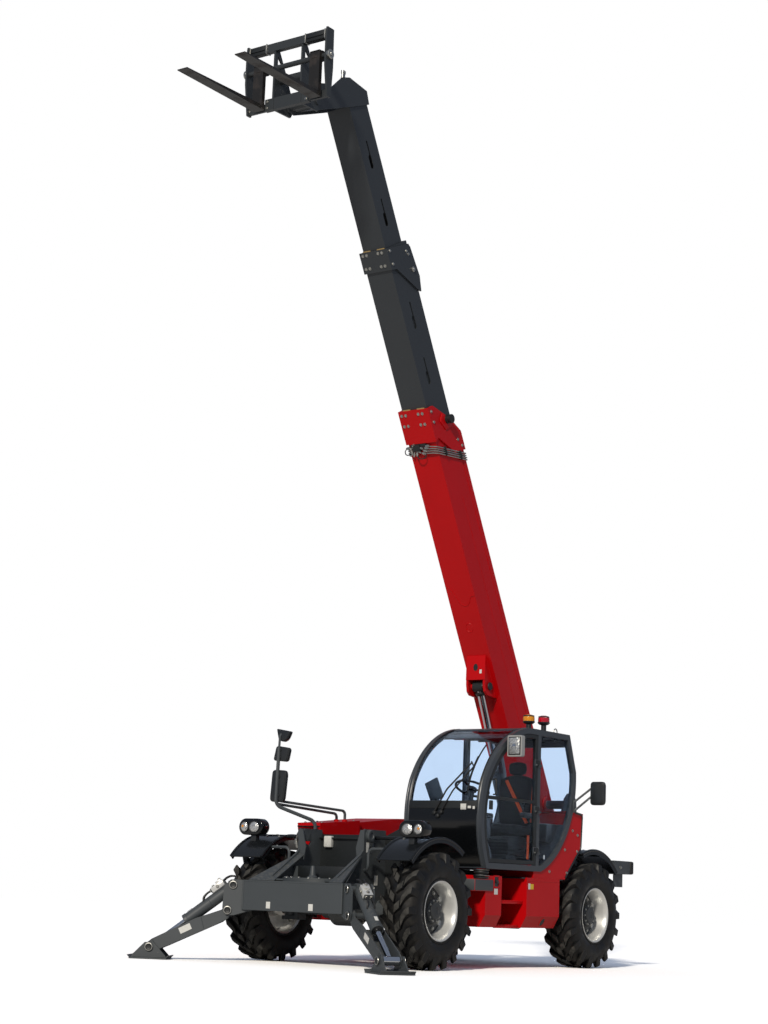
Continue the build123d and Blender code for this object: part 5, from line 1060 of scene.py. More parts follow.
cab_right, cab_left, ring_deep = 0.165, 1.140, 0.062
glass_y0, glass_y1 = cab_right + ring_deep, cab_left - ring_deep
arcs = {                            # centre x, centre z and radius of the nose and the brow above it
    "nose": (-1.2115, 1.5517, 1.1116),
    "brow": (-1.1633, 1.4687, 1.0994),
}


def screen_x(z, out=0.0):
    """How far forward the cab's front reaches at a height, moved out by a distance."""
    centre_x, centre_z, radius = arcs["nose" if z < 1.94 else "brow"]
    return centre_x + ((radius + out) ** 2 - (z - centre_z) ** 2) ** 0.5


def bent_panel(y0, y1, z0, z1, out, thick, steps=12):
    """A sheet that follows the cab's front between two heights."""
    heights = [z0 + (z1 - z0) * n / steps for n in range(steps + 1)]
    outer = [(screen_x(z, out + thick), y0, z) for z in heights]
    inner = [(screen_x(z, out), y0, z) for z in reversed(heights)]
    return plate(outer + inner, (0, y1 - y0, 0))


lower_front = bent_panel(glass_y0 + 0.002, glass_y1 - 0.002, 1.050, 1.652, 0.001, 0.004)
settle(lower_front, "lower_front_panel", "chassis", "glass", gloss_black)
transom = bent_panel(glass_y0, glass_y1, 1.640, 1.722, 0.002, 0.006, 5)
settle(round_edges(transom, 0.002, 2, 60), "windscreen_transom", "chassis", "dark_grey_paint", dark_enamel)


def front_path(foot, height, steps, first, last, inset):
    """Points (x, z) up the cab's front and back along its brow, this far inside the outline."""
    centre_x, centre_z, radius = arcs["brow"]
    path = []
    for n in range(steps + 1):
        z = foot + height * n / steps
        path.append((screen_x(z, -inset), z))
    for n in range(15):
        turn = radians(first + (last - first) * n / 14)
        path.append((centre_x + (radius - inset) * cos(turn), centre_z + (radius - inset) * sin(turn)))
    return path


# Seals: black rubber down both sides of the windscreen.
seal_path = front_path(1.722, 0.20, 5, 26, 83, 0.004)
seals = [pipe(0.009, [(x, y, z) for x, z in seal_path], 0) for y in (glass_y0 + 0.004, glass_y1 - 0.004)]
settle(joined(seals), "windscreen_seals", "chassis", "black_plastic", black_rubber)
# Rounded edges of the two bent side rings.
edge_path = front_path(1.060, 0.87, 9, 27, 82, 0.015)
ring_edges = [pipe(0.019, [(x, y, z) for x, z in edge_path], 0)
              for y in (cab_right + 0.015, cab_right + ring_deep - 0.015, cab_left - ring_deep + 0.015)]
settle(joined(ring_edges), "cab_ring_edges", "chassis", "dark_grey_paint", cab_enamel)

slats = []                          # guard against falling things, under the front of the roof
for tip_x, tip_z, top_x, top_z in ((-0.700, 2.414, -0.765, 2.468), (-0.925, 2.428, -1.000, 2.525),
                                   (-1.165, 2.440, -1.240, 2.535), (-1.420, 2.448, -1.495, 2.535),
                                   (-1.670, 2.450, -1.745, 2.530)):
    slat = plate([(tip_x, glass_y0 + 0.008, tip_z), (tip_x + 0.012, glass_y0 + 0.008, tip_z + 0.008),
                  (top_x + 0.012, glass_y0 + 0.008, top_z + 0.004), (top_x, glass_y0 + 0.008, top_z)],
                 (0, glass_y1 - glass_y0 - 0.016, 0), 0.003)
    slats.append(slat)
settle(joined(slats), "roof_guard_slats", "chassis", "black_plastic", grained_plastic)
lining = bar((-1.860, glass_y0 + 0.02, 2.486), (-1.080, glass_y1 - 0.02, 2.500), 0.006)
settle(lining, "roof_lining", "chassis", "black_plastic", grained_plastic)


# Pantograph wiper: two arms from the transom's pivots, a cross link and a long blade.
def on_screen(y, z, out):
    """A point this far outside the windscreen."""
    return Vector((screen_x(z, out), y, z))


arms = [pipe(0.0095, [on_screen(0.556, 1.592, 0.022), on_screen(0.70, 1.84, 0.036),
                      on_screen(0.917, 2.130, 0.036)], 0.02),
        pipe(0.0085, [on_screen(0.640, 1.600, 0.022), on_screen(0.78, 1.83, 0.036),
                      on_screen(0.960, 2.085, 0.036)], 0.02),
        pipe(0.0075, [on_screen(0.905, 2.140, 0.036), on_screen(0.972, 2.070, 0.036)], 0)]
blade_heights = [1.80 + (2.33 - 1.80) * n / 12 for n in range(13)]
arms.append(pipe(0.0080, [on_screen(0.955, z, 0.019) for z in blade_heights], 0, 1))
arms.append(pipe(0.0065, [on_screen(0.955, z, 0.033) for z in blade_heights[3:10]], 0, 1))
settle(joined(arms), "windscreen_wiper", "chassis", "black_plastic", black_rubber)
knob = turned([(0.010, -0.012), (0.024, -0.012), (0.026, 0.0), (0.022, 0.014), (0.012, 0.018),
               (0.004, 0.019)], 20)
pivots = [seat(on_screen(y, z, 0.012), (1, 0, 0.05))
          for y, z in ((0.556, 1.592), (0.640, 1.600), (0.600, 1.560))]
settle(joined(copied(knob, *pivots)), "wiper_pivots", "chassis", "dark_grey_paint", dark_enamel)
drop(knob)
for name, y, z, width, height in (("transom_sticker_wide", 0.915, 1.660, 0.070, 0.060),
                                  ("transom_sticker", 0.990, 1.655, 0.040, 0.026),
                                  ("transom_sticker_small", 1.045, 1.650, 0.026, 0.030)):
    film(name, Matrix.Translation(on_screen(y, z, 0.0082)) @ ahead_face, width, height, "chassis")

# Door: a round air vent, latch and pull handle, hinge plates with screws, a seal at its rear.
door_out = cab_left - 0.002
vent = turned([(0.050, 0.0), (0.066, 0.0), (0.068, 0.004), (0.062, 0.010), (0.050, 0.006),
               (0.006, 0.004)], 36)
vent.data.transform(Matrix.Translation((-0.335, cab_left - 0.075, 1.225))
                    @ Matrix.Rotation(radians(-70), 4, "X") @ Matrix.Diagonal((1.0, 1.7, 1, 1)))
settle(vent, "door_vent", "door", "black_plastic", grained_plastic)
latch = [bar((-0.300, door_out - 0.003, 1.640), (-0.245, door_out + 0.018, 1.735), 0.006),
         pipe(0.008, [(-0.330, door_out - 0.004, 1.800), (-0.330, door_out + 0.030, 1.800),
                      (-0.330, door_out + 0.030, 1.960), (-0.330, door_out - 0.004, 1.960)], 0.02)]
settle(joined(latch), "door_latch", "door", "black_plastic", grained_plastic)
hinge_heights = (1.250, 1.690, 2.190)
hinge_bolts, hinge_plates = [], []
for z in hinge_heights:
    hinge_plates.append(bar((-1.208, door_out - 0.001, z - 0.030), (-1.150, door_out + 0.012, z + 0.036),
                            0.004))
    hinge_bolts += [seat((-1.172, door_out + 0.012, z + up), (0, 1, 0)) for up in (-0.015, 0.020)]
settle(joined(hinge_plates), "door_hinge_plates", "door", "dark_grey_paint", cab_enamel)
bolts("door_hinge_screws", hinge_bolts, 0.020, "door")
pillar_screws = [seat((-1.252, cab_left, z + up), (0, 1, 0))
                 for z in hinge_heights for up in (-0.02, 0.025)]
bolts("pillar_screws", pillar_screws, 0.020, "chassis")
rear_seal = pipe(0.005, [(-1.190, door_out - 0.010, 1.070), (-1.190, door_out - 0.010, 2.480)], 0, 1)
settle(rear_seal, "door_rear_seal", "door", "black_plastic", black_rubber)
lift_ring = pipe(0.006, [(-1.655, 1.075, 2.552), (-1.655, 1.075, 2.590), (-1.690, 1.075, 2.612),
                         (-1.725, 1.075, 2.590), (-1.725, 1.075, 2.552)], 0.015)
settle(lift_ring, "roof_ring", "chassis", "chrome", zinc)
quarter = Matrix.Translation((-1.437, cab_left - 0.0295, 1.190)) @ Matrix.Rotation(radians(-90), 4, "X")
film("quarter_sticker", quarter, 0.030, 0.045, "chassis")


# ---- inside the cab -----------------------------------------------------------------------
# Black moulded floor, a sprung seat with crowned cushions in black cloth, armrest with levers, an
# orange belt, the steering wheel on its column, a screen and the dashboard.

# Woven charcoal cloth of the cushions: two threads, quite matt.
cloth, tree, place, shader = blank_finish("charcoal_seat_cloth")
weave = add_node(tree, "TexVoronoi", [("Vector", place)], Scale=1 / 0.0035)
shade = add_node(tree, "MixRGB", [("Fac", weave.outputs["Distance"])], Color1=linear("#1f2022"),
                 Color2=linear("#101112"))
bump = add_node(tree, "Bump", [("Height", weave.outputs["Distance"])], Distance=0.0008)
feed(shader, Base_Color=shade, Normal=bump)
shader.inputs["Roughness"].default_value = 0.9
# Orange webbing of the belt, ribbed along its length.
belt_web, tree, place, shader = blank_finish("orange_belt_webbing")
ribs = add_node(tree, "TexWave", [("Vector", place)], Scale=1 / 0.012, Distortion=1.0)
shade = add_node(tree, "MixRGB", [("Fac", ribs)], Color1=linear("#e4571a"), Color2=linear("#c8420f"))
feed(shader, Base_Color=shade)
shader.inputs["Roughness"].default_value = 0.7


def cushion(low, high, bulge, pull, cuts=11):
    """A stuffed pad: every face crowned, the edges pulled in between the corners."""
    clear()
    bpy.ops.mesh.primitive_cube_add(size=2)
    pad = bpy.context.object
    bpy.ops.object.mode_set(mode="EDIT")
    bpy.ops.mesh.select_all(action="SELECT")
    bpy.ops.mesh.subdivide(number_cuts=cuts)
    bpy.ops.object.mode_set(mode="OBJECT")
    centre, half = (Vector(low) + Vector(high)) / 2, (Vector(high) - Vector(low)) / 2
    for vertex in pad.data.vertices:
        x, y, z = vertex.co
        round_x = x * (1 - y * y / 2 - z * z / 2 + y * y * z * z / 3) ** 0.5
        round_y = y * (1 - x * x / 2 - z * z / 2 + x * x * z * z / 3) ** 0.5
        round_z = z * (1 - x * x / 2 - y * y / 2 + x * x * y * y / 3) ** 0.5
        soft = Vector((round_x, round_y, round_z)) * 0.36 + vertex.co * 0.64
        crown = Vector((x * (1 - y * y) * (1 - z * z), y * (1 - x * x) * (1 - z * z),
                        z * (1 - x * x) * (1 - y * y)))
        edge = Vector((x * y * y * (1 - z * z), y * x * x * (1 - z * z), 0)) * 0.5
        vertex.co = centre + Vector((soft[n] * half[n] + crown[n] * bulge - edge[n] * pull
                                     for n in range(3)))
    return round_edges(pad, 0.010, 2, 40)


seat_pads = (                       # name, low corner, high corner, bulge of the faces, pull of the sides
    ("seat_cushion", (-1.540, 0.440, 1.408), (-1.090, 0.910, 1.525), 0.016, 0.012),
    ("seat_back", (-1.612, 0.452, 1.530), (-1.500, 0.898, 2.070), 0.018, 0.014),
    ("seat_headrest", (-1.596, 0.570, 2.092), (-1.526, 0.780, 2.222), 0.010, 0.008),
)
for name, low, high, bulge, pull in seat_pads:
    pad = settle(cushion(low, high, bulge, pull), name, "chassis", "seat_fabric", cloth, 50)
    if name == "seat_cushion":
        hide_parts("operator_seat")
piping = []
for x in (-1.46, -1.33, -1.20):
    seam_line = [(x, 0.480 + 0.43 * n / 8, 1.530 + 0.006 * sin(pi * n / 8)) for n in range(9)]
    piping.append(pipe(0.004, seam_line, 0, 1))
for z in (1.68, 1.82, 1.96):
    seam_line = [(-1.494 + 0.006 * sin(pi * n / 8), 0.490 + 0.37 * n / 8, z) for n in range(9)]
    piping.append(pipe(0.004, seam_line, 0, 1))
settle(joined(piping), "seat_seams", "chassis", "seat_fabric", cloth)
frame_bits = [bar((-1.470, 0.500, 1.195), (-1.110, 0.850, 1.400), 0.012),
              bar((-1.325, 0.520, 1.066), (-1.100, 0.830, 1.200), 0.010),
              bar((-1.600, 0.500, 1.395), (-1.545, 0.850, 1.560), 0.010),
              bar((-1.575, 0.620, 2.060), (-1.555, 0.635, 2.110), 0.003),
              bar((-1.575, 0.715, 2.060), (-1.555, 0.730, 2.110), 0.003)]
frame_bits += [bar((-1.480, 0.495, 1.220 + 0.034 * n), (-1.100, 0.855, 1.238 + 0.034 * n), 0.008)
               for n in range(5)]
settle(joined(frame_bits), "seat_suspension", "chassis", "black_plastic", black_rubber)
rests = [bar((-1.500, 0.340, 1.600), (-1.120, 0.415, 1.660), 0.020),
         bar((-1.500, 0.935, 1.600), (-1.180, 1.000, 1.660), 0.020),
         bar((-1.500, 0.360, 1.400), (-1.420, 0.400, 1.610), 0.010),
         bar((-1.500, 0.945, 1.400), (-1.420, 0.985, 1.610), 0.010)]
for y, x in ((0.370, -1.150), (0.390, -1.200), (0.965, -1.220)):
    rests.append(pipe(0.011, [(x, y, 1.650), (x + 0.02, y, 1.740)], 0))
    rests.append(bar((x - 0.002, y - 0.022, 1.735), (x + 0.042, y + 0.022, 1.790), 0.014))
settle(joined(rests), "seat_armrests", "chassis", "black_plastic", grained_plastic)
belt = [plate([(-1.490, 0.905, 1.560), (-1.450, 0.912, 1.560), (-1.470, 0.925, 2.080),
               (-1.510, 0.918, 2.080)], (0, 0.003, 0)),
        plate([(-1.420, 0.925, 1.420), (-1.375, 0.925, 1.420), (-1.355, 0.935, 1.160),
               (-1.400, 0.935, 1.160)], (0, 0.003, 0)),
        plate([(-1.484, 0.560, 2.020), (-1.480, 0.600, 2.030), (-1.482, 0.870, 1.560),
               (-1.486, 0.830, 1.550)], (0.003, 0, 0))]
settle(joined(belt), "seat_belt", "chassis", "seat_fabric", belt_web)

hub_at, tilt_way = Vector((-0.655, 0.660, 1.880)), Vector((-0.42, 0, 0.91))
rim = turned([(0.170, 0.0), (0.174, -0.010), (0.184, -0.013), (0.193, -0.008), (0.195, 0.002),
              (0.190, 0.011), (0.180, 0.014), (0.172, 0.009)], 56, closed=True)
boss = turned([(0.020, -0.030), (0.052, -0.026), (0.058, -0.006), (0.050, 0.010), (0.016, 0.014)], 32)
spoke = bar((0.040, -0.014, -0.008), (0.178, 0.014, 0.004), 0.005)
spokes = copied(spoke, *[Matrix.Rotation(radians(90 + 120 * n), 4, "Z") for n in range(3)])
drop(spoke)
wheel = joined(spokes + [rim, boss])
wheel.data.transform(seat(hub_at, tilt_way))
settle(wheel, "steering_wheel", "chassis", "black_plastic", black_rubber)
console = [bar((-0.420, 0.240, 1.330), (-0.270, 1.060, 1.560), 0.020),
           bar((-0.560, 0.600, 1.060), (-0.400, 0.760, 1.500), 0.020),
           pipe(0.035, [(-0.500, 0.680, 1.450), (-0.640, 0.662, 1.850)], 0),
           pipe(0.046, [(-0.500, 0.680, 1.450), (-0.560, 0.680, 1.590)], 0)]
console = settle(joined(console), "steering_console_and_column", "chassis", "black_plastic",
                 grained_plastic)
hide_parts("steering_console")
dash = [bar((-0.432, 0.240, 1.560), (-0.280, 1.060, 1.588), 0.012),
        bar((-0.440, 0.500, 1.575), (-0.330, 0.860, 1.640), 0.020),
        bar((-0.520, 0.610, 1.500), (-0.420, 0.750, 1.600), 0.020)]
dash += [pipe(0.009, [(-0.600, 0.680 + way * 0.05, 1.700), (-0.585, 0.680 + way * 0.16, 1.725)], 0)
         for way in (1, -1)]
settle(joined(dash), "dashboard_hood", "chassis", "black_plastic", grained_plastic)
monitor = joined([bar((-0.014, -0.085, 0.000), (0.014, 0.085, 0.230), 0.010),
                  bar((-0.010, -0.020, -0.160), (0.012, 0.020, 0.020), 0.006)])
monitor.data.transform(Matrix.Translation((-0.300, 0.455, 1.735)) @ Matrix.Rotation(radians(24), 4, "X"))
settle(monitor, "cab_monitor", "chassis", "dark_grey_paint", cab_enamel)
settle(bar((-0.440, 0.255, 1.580), (-0.310, 0.330, 1.700), 0.014), "cab_switch_box", "chassis",
       "black_plastic", grained_plastic)
mats = [bar((-1.330, glass_y0 + 0.01, 1.084), (-0.270, glass_y1 - 0.03, 1.094), 0.003),
        bar((-0.600, 0.480, 1.090), (-0.560, 0.560, 1.230), 0.008),
        bar((-0.600, 0.800, 1.090), (-0.560, 0.880, 1.230), 0.008),
        bar((-1.900, glass_y0 + 0.01, 1.350), (-1.620, glass_y1 - 0.05, 1.560), 0.02),
        bar((-1.480, glass_y0 + 0.01, 1.094), (-1.10, 0.430, 1.620), 0.03),
        bar((-1.500, glass_y0 + 0.02, 1.600), (-1.120, 0.320, 1.680), 0.02)]
settle(joined(mats), "cab_floor_and_consoles", "chassis", "black_plastic", grained_plastic)


# ---- covers, tank and panels --------------------------------------------------------------
# Folded sheet steel in red enamel: side tank with two serrated steps, the panel behind the cab,
# engine housing, hood and front cowl. Screws, hatch lines, latches and blank stickers on them.
coat(red_enamel, "side_tank", "cab_back_panel", "engine_housing", "engine_hood", "front_cowl")
# Porous grey cast iron of the engine.
cast_block, tree, place, shader = blank_finish("grey_cast_engine_block")
pores = add_node(tree, "TexNoise", [("Vector", place)], Scale=1 / 0.01, Detail=6.0)
shade = add_node(tree, "MixRGB", [("Fac", pores)], Color1=linear("#2a2c2e"), Color2=linear("#3f4143"))
bump = add_node(tree, "Bump", [("Height", pores)], Distance=0.001)
feed(shader, Base_Color=shade, Normal=bump)
shader.inputs["Roughness"].default_value = 0.7
coat(cast_block, "engine_block")

mount = bar((-0.422, 0.455, 0.798), (-0.058, 1.112, 0.922), 0.010)
settle(mount, "cab_mount_arm", "chassis", "grey_paint", grey_enamel)
rubber_mount = turned([(0.056, 0.0), (0.078, 0.004), (0.080, 0.020), (0.062, 0.030), (0.060, 0.044),
                       (0.076, 0.056), (0.080, 0.070), (0.074, 0.084), (0.058, 0.090),
                       (0.056, 0.098)], 36, closed=True)
settle(copied(rubber_mount, Matrix.Translation((-0.300, 1.030, 0.924)))[0], "cab_rubber_mount", "chassis",
       "black_plastic", black_rubber)
washer = turned([(0.056, 0.0), (0.086, 0.0), (0.088, 0.003), (0.086, 0.006), (0.056, 0.006)], 36,
                closed=True)
settle(joined(copied(washer, Matrix.Translation((-0.300, 1.030, 0.956)),
                     Matrix.Translation((-0.300, 1.030, 1.014)))),
       "cab_mount_washers", "chassis", "chrome", zinc)
drop(rubber_mount, washer)

steps, teeth = [], []
for z, y in ((0.706, 1.080), (0.451, 1.030)):
    steps.append(bar((-1.060, y - 0.030, z - 0.028), (-0.600, y + 0.004, z), 0.003))
    teeth += [bar((-1.052 + 0.030 * n, y - 0.002, z - 0.002),
                  (-1.036 + 0.030 * n, y + 0.008, z + 0.010), 0.002, 1) for n in range(15)]
    teeth += [bar((-1.052 + 0.030 * n, y - 0.120, z - 0.002),
                  (-1.036 + 0.030 * n, y - 0.110, z + 0.008), 0.002, 1) for n in range(15)]
settle(joined(steps + teeth), "serrated_steps", "chassis", "red_paint", red_enamel)
tank_y, post_y = 1.130, 1.100
lines = [pipe(0.003, [(-1.745, tank_y, 0.925), (-1.066, tank_y, 0.925)], 0),
         pipe(0.004, [(-1.745, tank_y, 0.556), (-1.066, tank_y, 0.556)], 0),
         pipe(0.004, [(-0.596, post_y, 0.556), (-0.284, post_y, 0.556)], 0)]
settle(joined(lines), "tank_fold_lines", "chassis", "red_paint", red_enamel)
lean_out = Vector((0, 0.126, -0.070)).normalized()
drain = turned([(0.040, -0.004), (0.040, 0.003), (0.047, 0.004), (0.049, 0.0), (0.048, -0.004)], 36,
               closed=True)
drain_place = seat((-1.447, 1.0965, 0.4935), lean_out) @ Matrix.Diagonal((1.0, 1.15, 1, 1))
settle(copied(drain, drain_place)[0], "tank_hole_edge", "chassis", "red_paint", red_enamel)
# The hole's inside: a flat black disc, painted shade of the hollow behind it.
tank_hole_shade_disc = turned([(0.041, 0.0006), (0.010, 0.0008)], 36)
settle(copied(tank_hole_shade_disc, drain_place)[0], "tank_hole", "chassis", "black_plastic", black_rubber)
drop(drain, tank_hole_shade_disc)
# A place whose Z looks out to the left.
left_face = Matrix(((-1, 0, 0, 0), (0, 0, 1, 0), (0, 1, 0, 0), (0, 0, 0, 1)))
# Yellow film of the one coloured plate.
yellow_film = stained_finish("yellow_vinyl_film", "#e8c21c", "#cda716", 0.02, 6.0, 0.4)
for name, x, y, z, width, height, colour in (
        ("tank_sticker_white", -1.112, tank_y, 0.868, 0.042, 0.062, white_film),
        ("upright_sticker", 0.902, 0.4205, 1.187, 0.045, 0.100, white_film),
        ("upright_sticker_low", 0.738, 0.4205, 0.862, 0.060, 0.100, white_film),
        ("tank_sticker_yellow", -1.168, tank_y, 0.866, 0.062, 0.056, yellow_film),
        ("post_sticker", -0.487, post_y, 0.800, 0.070, 0.062, white_film)):
    film(name, Matrix.Translation((x, y + 0.0005, z)) @ left_face, width, height, "chassis", colour)
frame_bars = [bar((-0.545, post_y - 0.004, z - 0.008), (-0.435, post_y + 0.008, z + 0.008), 0.002)
              for z in (0.842, 0.958)]
frame_bars += [bar((x - 0.008, post_y - 0.004, 0.842), (x + 0.008, post_y + 0.008, 0.958), 0.002)
               for x in (-0.540, -0.440)]
settle(joined(frame_bars), "switch_frame", "chassis", "red_paint", red_enamel)
switch = [bar((-0.538, post_y - 0.003, 0.846), (-0.442, post_y + 0.002, 0.954), 0.001, 1),
          bar((-0.512, post_y, 0.884), (-0.472, post_y + 0.022, 0.916), 0.006)]
settle(joined(switch), "battery_switch", "chassis", "black_plastic", grained_plastic)

panel_y = 1.125
screws = [seat((x, panel_y, z), (0, 1, 0)) for x, z in (
    (-2.024, 1.502), (-2.138, 1.455), (-1.861, 1.286), (-2.133, 1.277), (-1.533, 1.039), (-1.907, 1.034))]
bolts("back_panel_screws", screws, 0.026, "chassis")
trim = pipe(0.015, [(-2.070, panel_y - 0.006, 1.704), (-2.238, panel_y - 0.006, 1.684),
                    (-2.214, panel_y - 0.006, 1.300), (-2.140, panel_y - 0.006, 1.242),
                    (-1.880, panel_y - 0.006, 0.980)], 0.03)
settle(trim, "back_panel_edge", "chassis", "black_plastic", grained_plastic)
sill = bar((-1.860, 0.480, 0.946), (-1.000, 1.110, 0.962), 0.004)
settle(sill, "tank_top_seal", "chassis", "black_plastic", grained_plastic)

# Hood: rubber strip along its lower edge, two rubber latches, screws; cowl: strips and pins.
strip = [pipe(0.008, [(-2.146, -1.162, 1.232), (-0.124, -1.162, 1.232)], 0),
         pipe(0.008, [(-0.118, -1.156, 1.232), (-0.118, -0.474, 1.232)], 0),
         pipe(0.006, [(0.606, -0.716, 1.405), (0.606, -0.424, 1.405)], 0),
         pipe(0.006, [(-0.105, -0.722, 1.488), (0.596, -0.722, 1.432)], 0)]
settle(joined(strip[:2]), "hood_edge_strip", "chassis", "black_plastic", black_rubber)
settle(joined(strip[2:]), "cowl_edge_strip", "chassis", "black_plastic", black_rubber)
latches = []
for x in (-1.750, -0.520):
    latches.append(bar((x - 0.016, -1.172, 1.230), (x + 0.016, -1.158, 1.330), 0.004))
    latches.append(bar((x - 0.024, -1.176, 1.316), (x + 0.024, -1.158, 1.340), 0.004))
settle(joined(latches), "hood_latches", "hood", "black_plastic", black_rubber)
cowl_pins = [seat((x, y, z), (0, 0, 1)) for x, y, z in (
    (0.520, -0.460, 1.4495), (0.520, -0.680, 1.4495), (0.300, -0.690, 1.4675), (-0.060, -0.690, 1.496),
    (-0.060, -0.470, 1.496))]
bolts("cowl_pins", cowl_pins, 0.022, "chassis")
bolts("cowl_front_pins", [seat((0.5915, y, 1.370), (1, 0, -0.25)) for y in (-0.66, -0.48)], 0.022,
      "chassis")
bolts("hood_top_screws", [seat((-0.150, -0.55 - 0.17 * n, 1.482), (0, 0, 1)) for n in range(3)], 0.020,
      "hood")
housing_screws = [seat((x, -1.150, z), (0, -1, 0)) for x in (-1.700, -1.100, -0.500, -0.180)
                  for z in (0.48, 1.18)]
bolts("housing_screws", housing_screws, 0.024, "chassis")
handle = pipe(0.010, [(-0.350, -1.150, 0.840), (-0.350, -1.185, 0.840), (-0.350, -1.185, 1.000),
                      (-0.350, -1.150, 1.000)], 0.02)
settle(handle, "housing_handle", "chassis", "black_plastic", black_rubber)


# ---- mudguards ----------------------------------------------------------------------------
# Moulded black plastic with a thick rounded lip on every edge, on tube stays; bolts hold them.

# Smooth black plastic, moulded in a polished tool: soft highlights along the edges.
fender_plastic, tree, place, shader = blank_finish("polished_black_plastic")
wear = add_node(tree, "TexNoise", [("Vector", place)], Scale=1 / 0.25, Detail=5.0)
shade = add_node(tree, "MixRGB", [("Fac", wear)], Color1=linear("#15171a"), Color2=linear("#1e2124"))
sheen = add_node(tree, "MapRange", [("Value", wear)], To_Min=0.18, To_Max=0.28)
shader.inputs["Specular IOR Level"].default_value = 0.3
feed(shader, Base_Color=shade, Roughness=sheen)
coat(fender_plastic, "fenders")
fender_inner, fender_outer, fender_radius = 0.730, 1.150, 0.722
for end, start, stop in (("front", 42, 125), ("rear", 68, 137)):
    axle = Vector(joints[end + "_left_spin"]["pos_m"])
    for side, way in (("left", 1), ("right", -1)):
        turns = [radians(start + (stop - start) * n / 18) for n in range(19)]
        rim = [(axle.x + (fender_radius - 0.004) * cos(t), axle.z + (fender_radius - 0.004) * sin(t))
               for t in turns]
        lips = [pipe(0.017, [(x, way * y, z) for x, z in rim], 0, 3)
                for y in (fender_inner + 0.010, fender_outer - 0.010)]
        for x, z in (rim[0], rim[-1]):
            lips.append(pipe(0.010, [(x, way * (fender_inner + 0.010), z),
                                     (x, way * (fender_outer - 0.010), z)], 0, 3))
        settle(joined(lips), "%s_%s_fender_lip" % (end, side), "chassis", "black_plastic", fender_plastic)
        turn = radians((start + stop) / 2)
        heads = [seat((axle.x + fender_radius * cos(turn + a), way * y,
                       axle.z + fender_radius * sin(turn + a)),
                      (cos(turn + a), 0, sin(turn + a))) for a in (-0.12, 0.12) for y in (0.800, 0.960)]
        bolts("%s_%s_fender_bolts" % (end, side), heads, 0.024, "chassis")


# ---- lamps --------------------------------------------------------------------------------
# Oval black drums with a large and a small round lamp, a square work lamp in a grey frame on the
# door's top, red and amber tail lamps and two flashing beacons, one amber and one red.

# Faceted mirror seen through a clear lens.
reflector, tree, place, shader = blank_finish("ribbed_lamp_reflector")
facets = add_node(tree, "TexVoronoi", [("Vector", place)], Scale=1 / 0.012)
shade = add_node(tree, "MixRGB", [("Fac", facets.outputs["Distance"])], Color1=linear("#f2f3f2"),
                 Color2=linear("#a9aaa8"))
bump = add_node(tree, "Bump", [("Height", facets.outputs["Distance"])], Distance=0.004)
feed(shader, Base_Color=shade, Normal=bump)
shader.inputs["Metallic"].default_value = 0.75
shader.inputs["Roughness"].default_value = 0.22


def lens_finish(name, colour, deep):
    """Moulded lamp plastic with a fine ribbed pattern."""
    finish, tree, place, shader = blank_finish(name)
    ribs = add_node(tree, "TexWave", [("Vector", place)], Scale=1 / 0.02, Distortion=0.5)
    shade = add_node(tree, "MixRGB", [("Fac", ribs)], Color1=linear(colour), Color2=linear(deep))
    bump = add_node(tree, "Bump", [("Height", ribs)], Distance=0.0015)
    feed(shader, Base_Color=shade, Normal=bump)
    shader.inputs["Roughness"].default_value = 0.14
    shader.inputs["Subsurface Weight"].default_value = 0.15
    shader.inputs["Coat Weight"].default_value = 0.6
    return finish


# Clear plastic coloured all through: amber for winkers and a beacon, red for stop lamps and one.
amber_lens = lens_finish("amber_lamp_plastic", "#f5a51a", "#d98308")
red_lens = lens_finish("red_lamp_plastic", "#d3122e", "#9c0a1e")
coat(gloss_black, "head_lamps")
lamp_back, lamp_front, lamp_y, lamp_z = 0.884, 1.012, 1.030, 1.376
drum_half, drum_radius = 0.074, 0.086
for side, way in (("left", 1), ("right", -1)):
    oval = []
    for n in range(26):
        middle = drum_half if n < 13 else -drum_half
        turn = pi * (n - (n > 12)) / 12
        oval.append((lamp_back, way * lamp_y + middle + drum_radius * sin(turn),
                     lamp_z + drum_radius * cos(turn)))
    drum = plate(oval, (lamp_front - lamp_back, 0, 0), 0.012)
    settle(drum, "head_lamp_drum_" + side, "chassis", "black_plastic", gloss_black, 45)
    rims, dishes = [], []
    for off, radius, wide in ((-0.052, 0.059, 1.16), (0.080, 0.055, 0.96)):
        place = (seat((lamp_front, way * (lamp_y + off), lamp_z - 0.002), (1, 0, 0))
                 @ Matrix.Diagonal((wide, 1, 1, 1)))
        rim = turned([(radius - 0.006, -0.002), (radius, 0.004), (radius + 0.003, 0.008),
                      (radius + 0.001, 0.011), (radius - 0.005, 0.009),
                      (radius - 0.008, 0.002)], 40, closed=True)
        dish = turned([(radius - 0.005, 0.005), (radius * 0.75, 0.012), (radius * 0.45, 0.0170),
                       (radius * 0.12, 0.0190)], 40)
        rims += copied(rim, place)
        dishes += copied(dish, place)
        drop(rim, dish)
    settle(joined(rims), "head_lamp_bezels_" + side, "chassis", "black_plastic", grained_plastic)
    settle(joined(dishes), "head_lamp_lenses_" + side, "chassis", "lamp", reflector)
    winker = turned([(0.014, 0.020), (0.013, 0.024), (0.005, 0.026)], 24)
    settle(copied(winker, seat((lamp_front - 0.004, way * 1.122, lamp_z + 0.004), (1, 0, 0)))[0],
           "head_lamp_winker_" + side, "chassis", "beacon", amber_lens)
    drop(winker)
    foot = bar((0.918, way * 1.010 - 0.034, 1.225), (0.982, way * 1.010 + 0.034, 1.300), 0.006)
    settle(foot, "head_lamp_foot_" + side, "chassis", "black_plastic", grained_plastic)

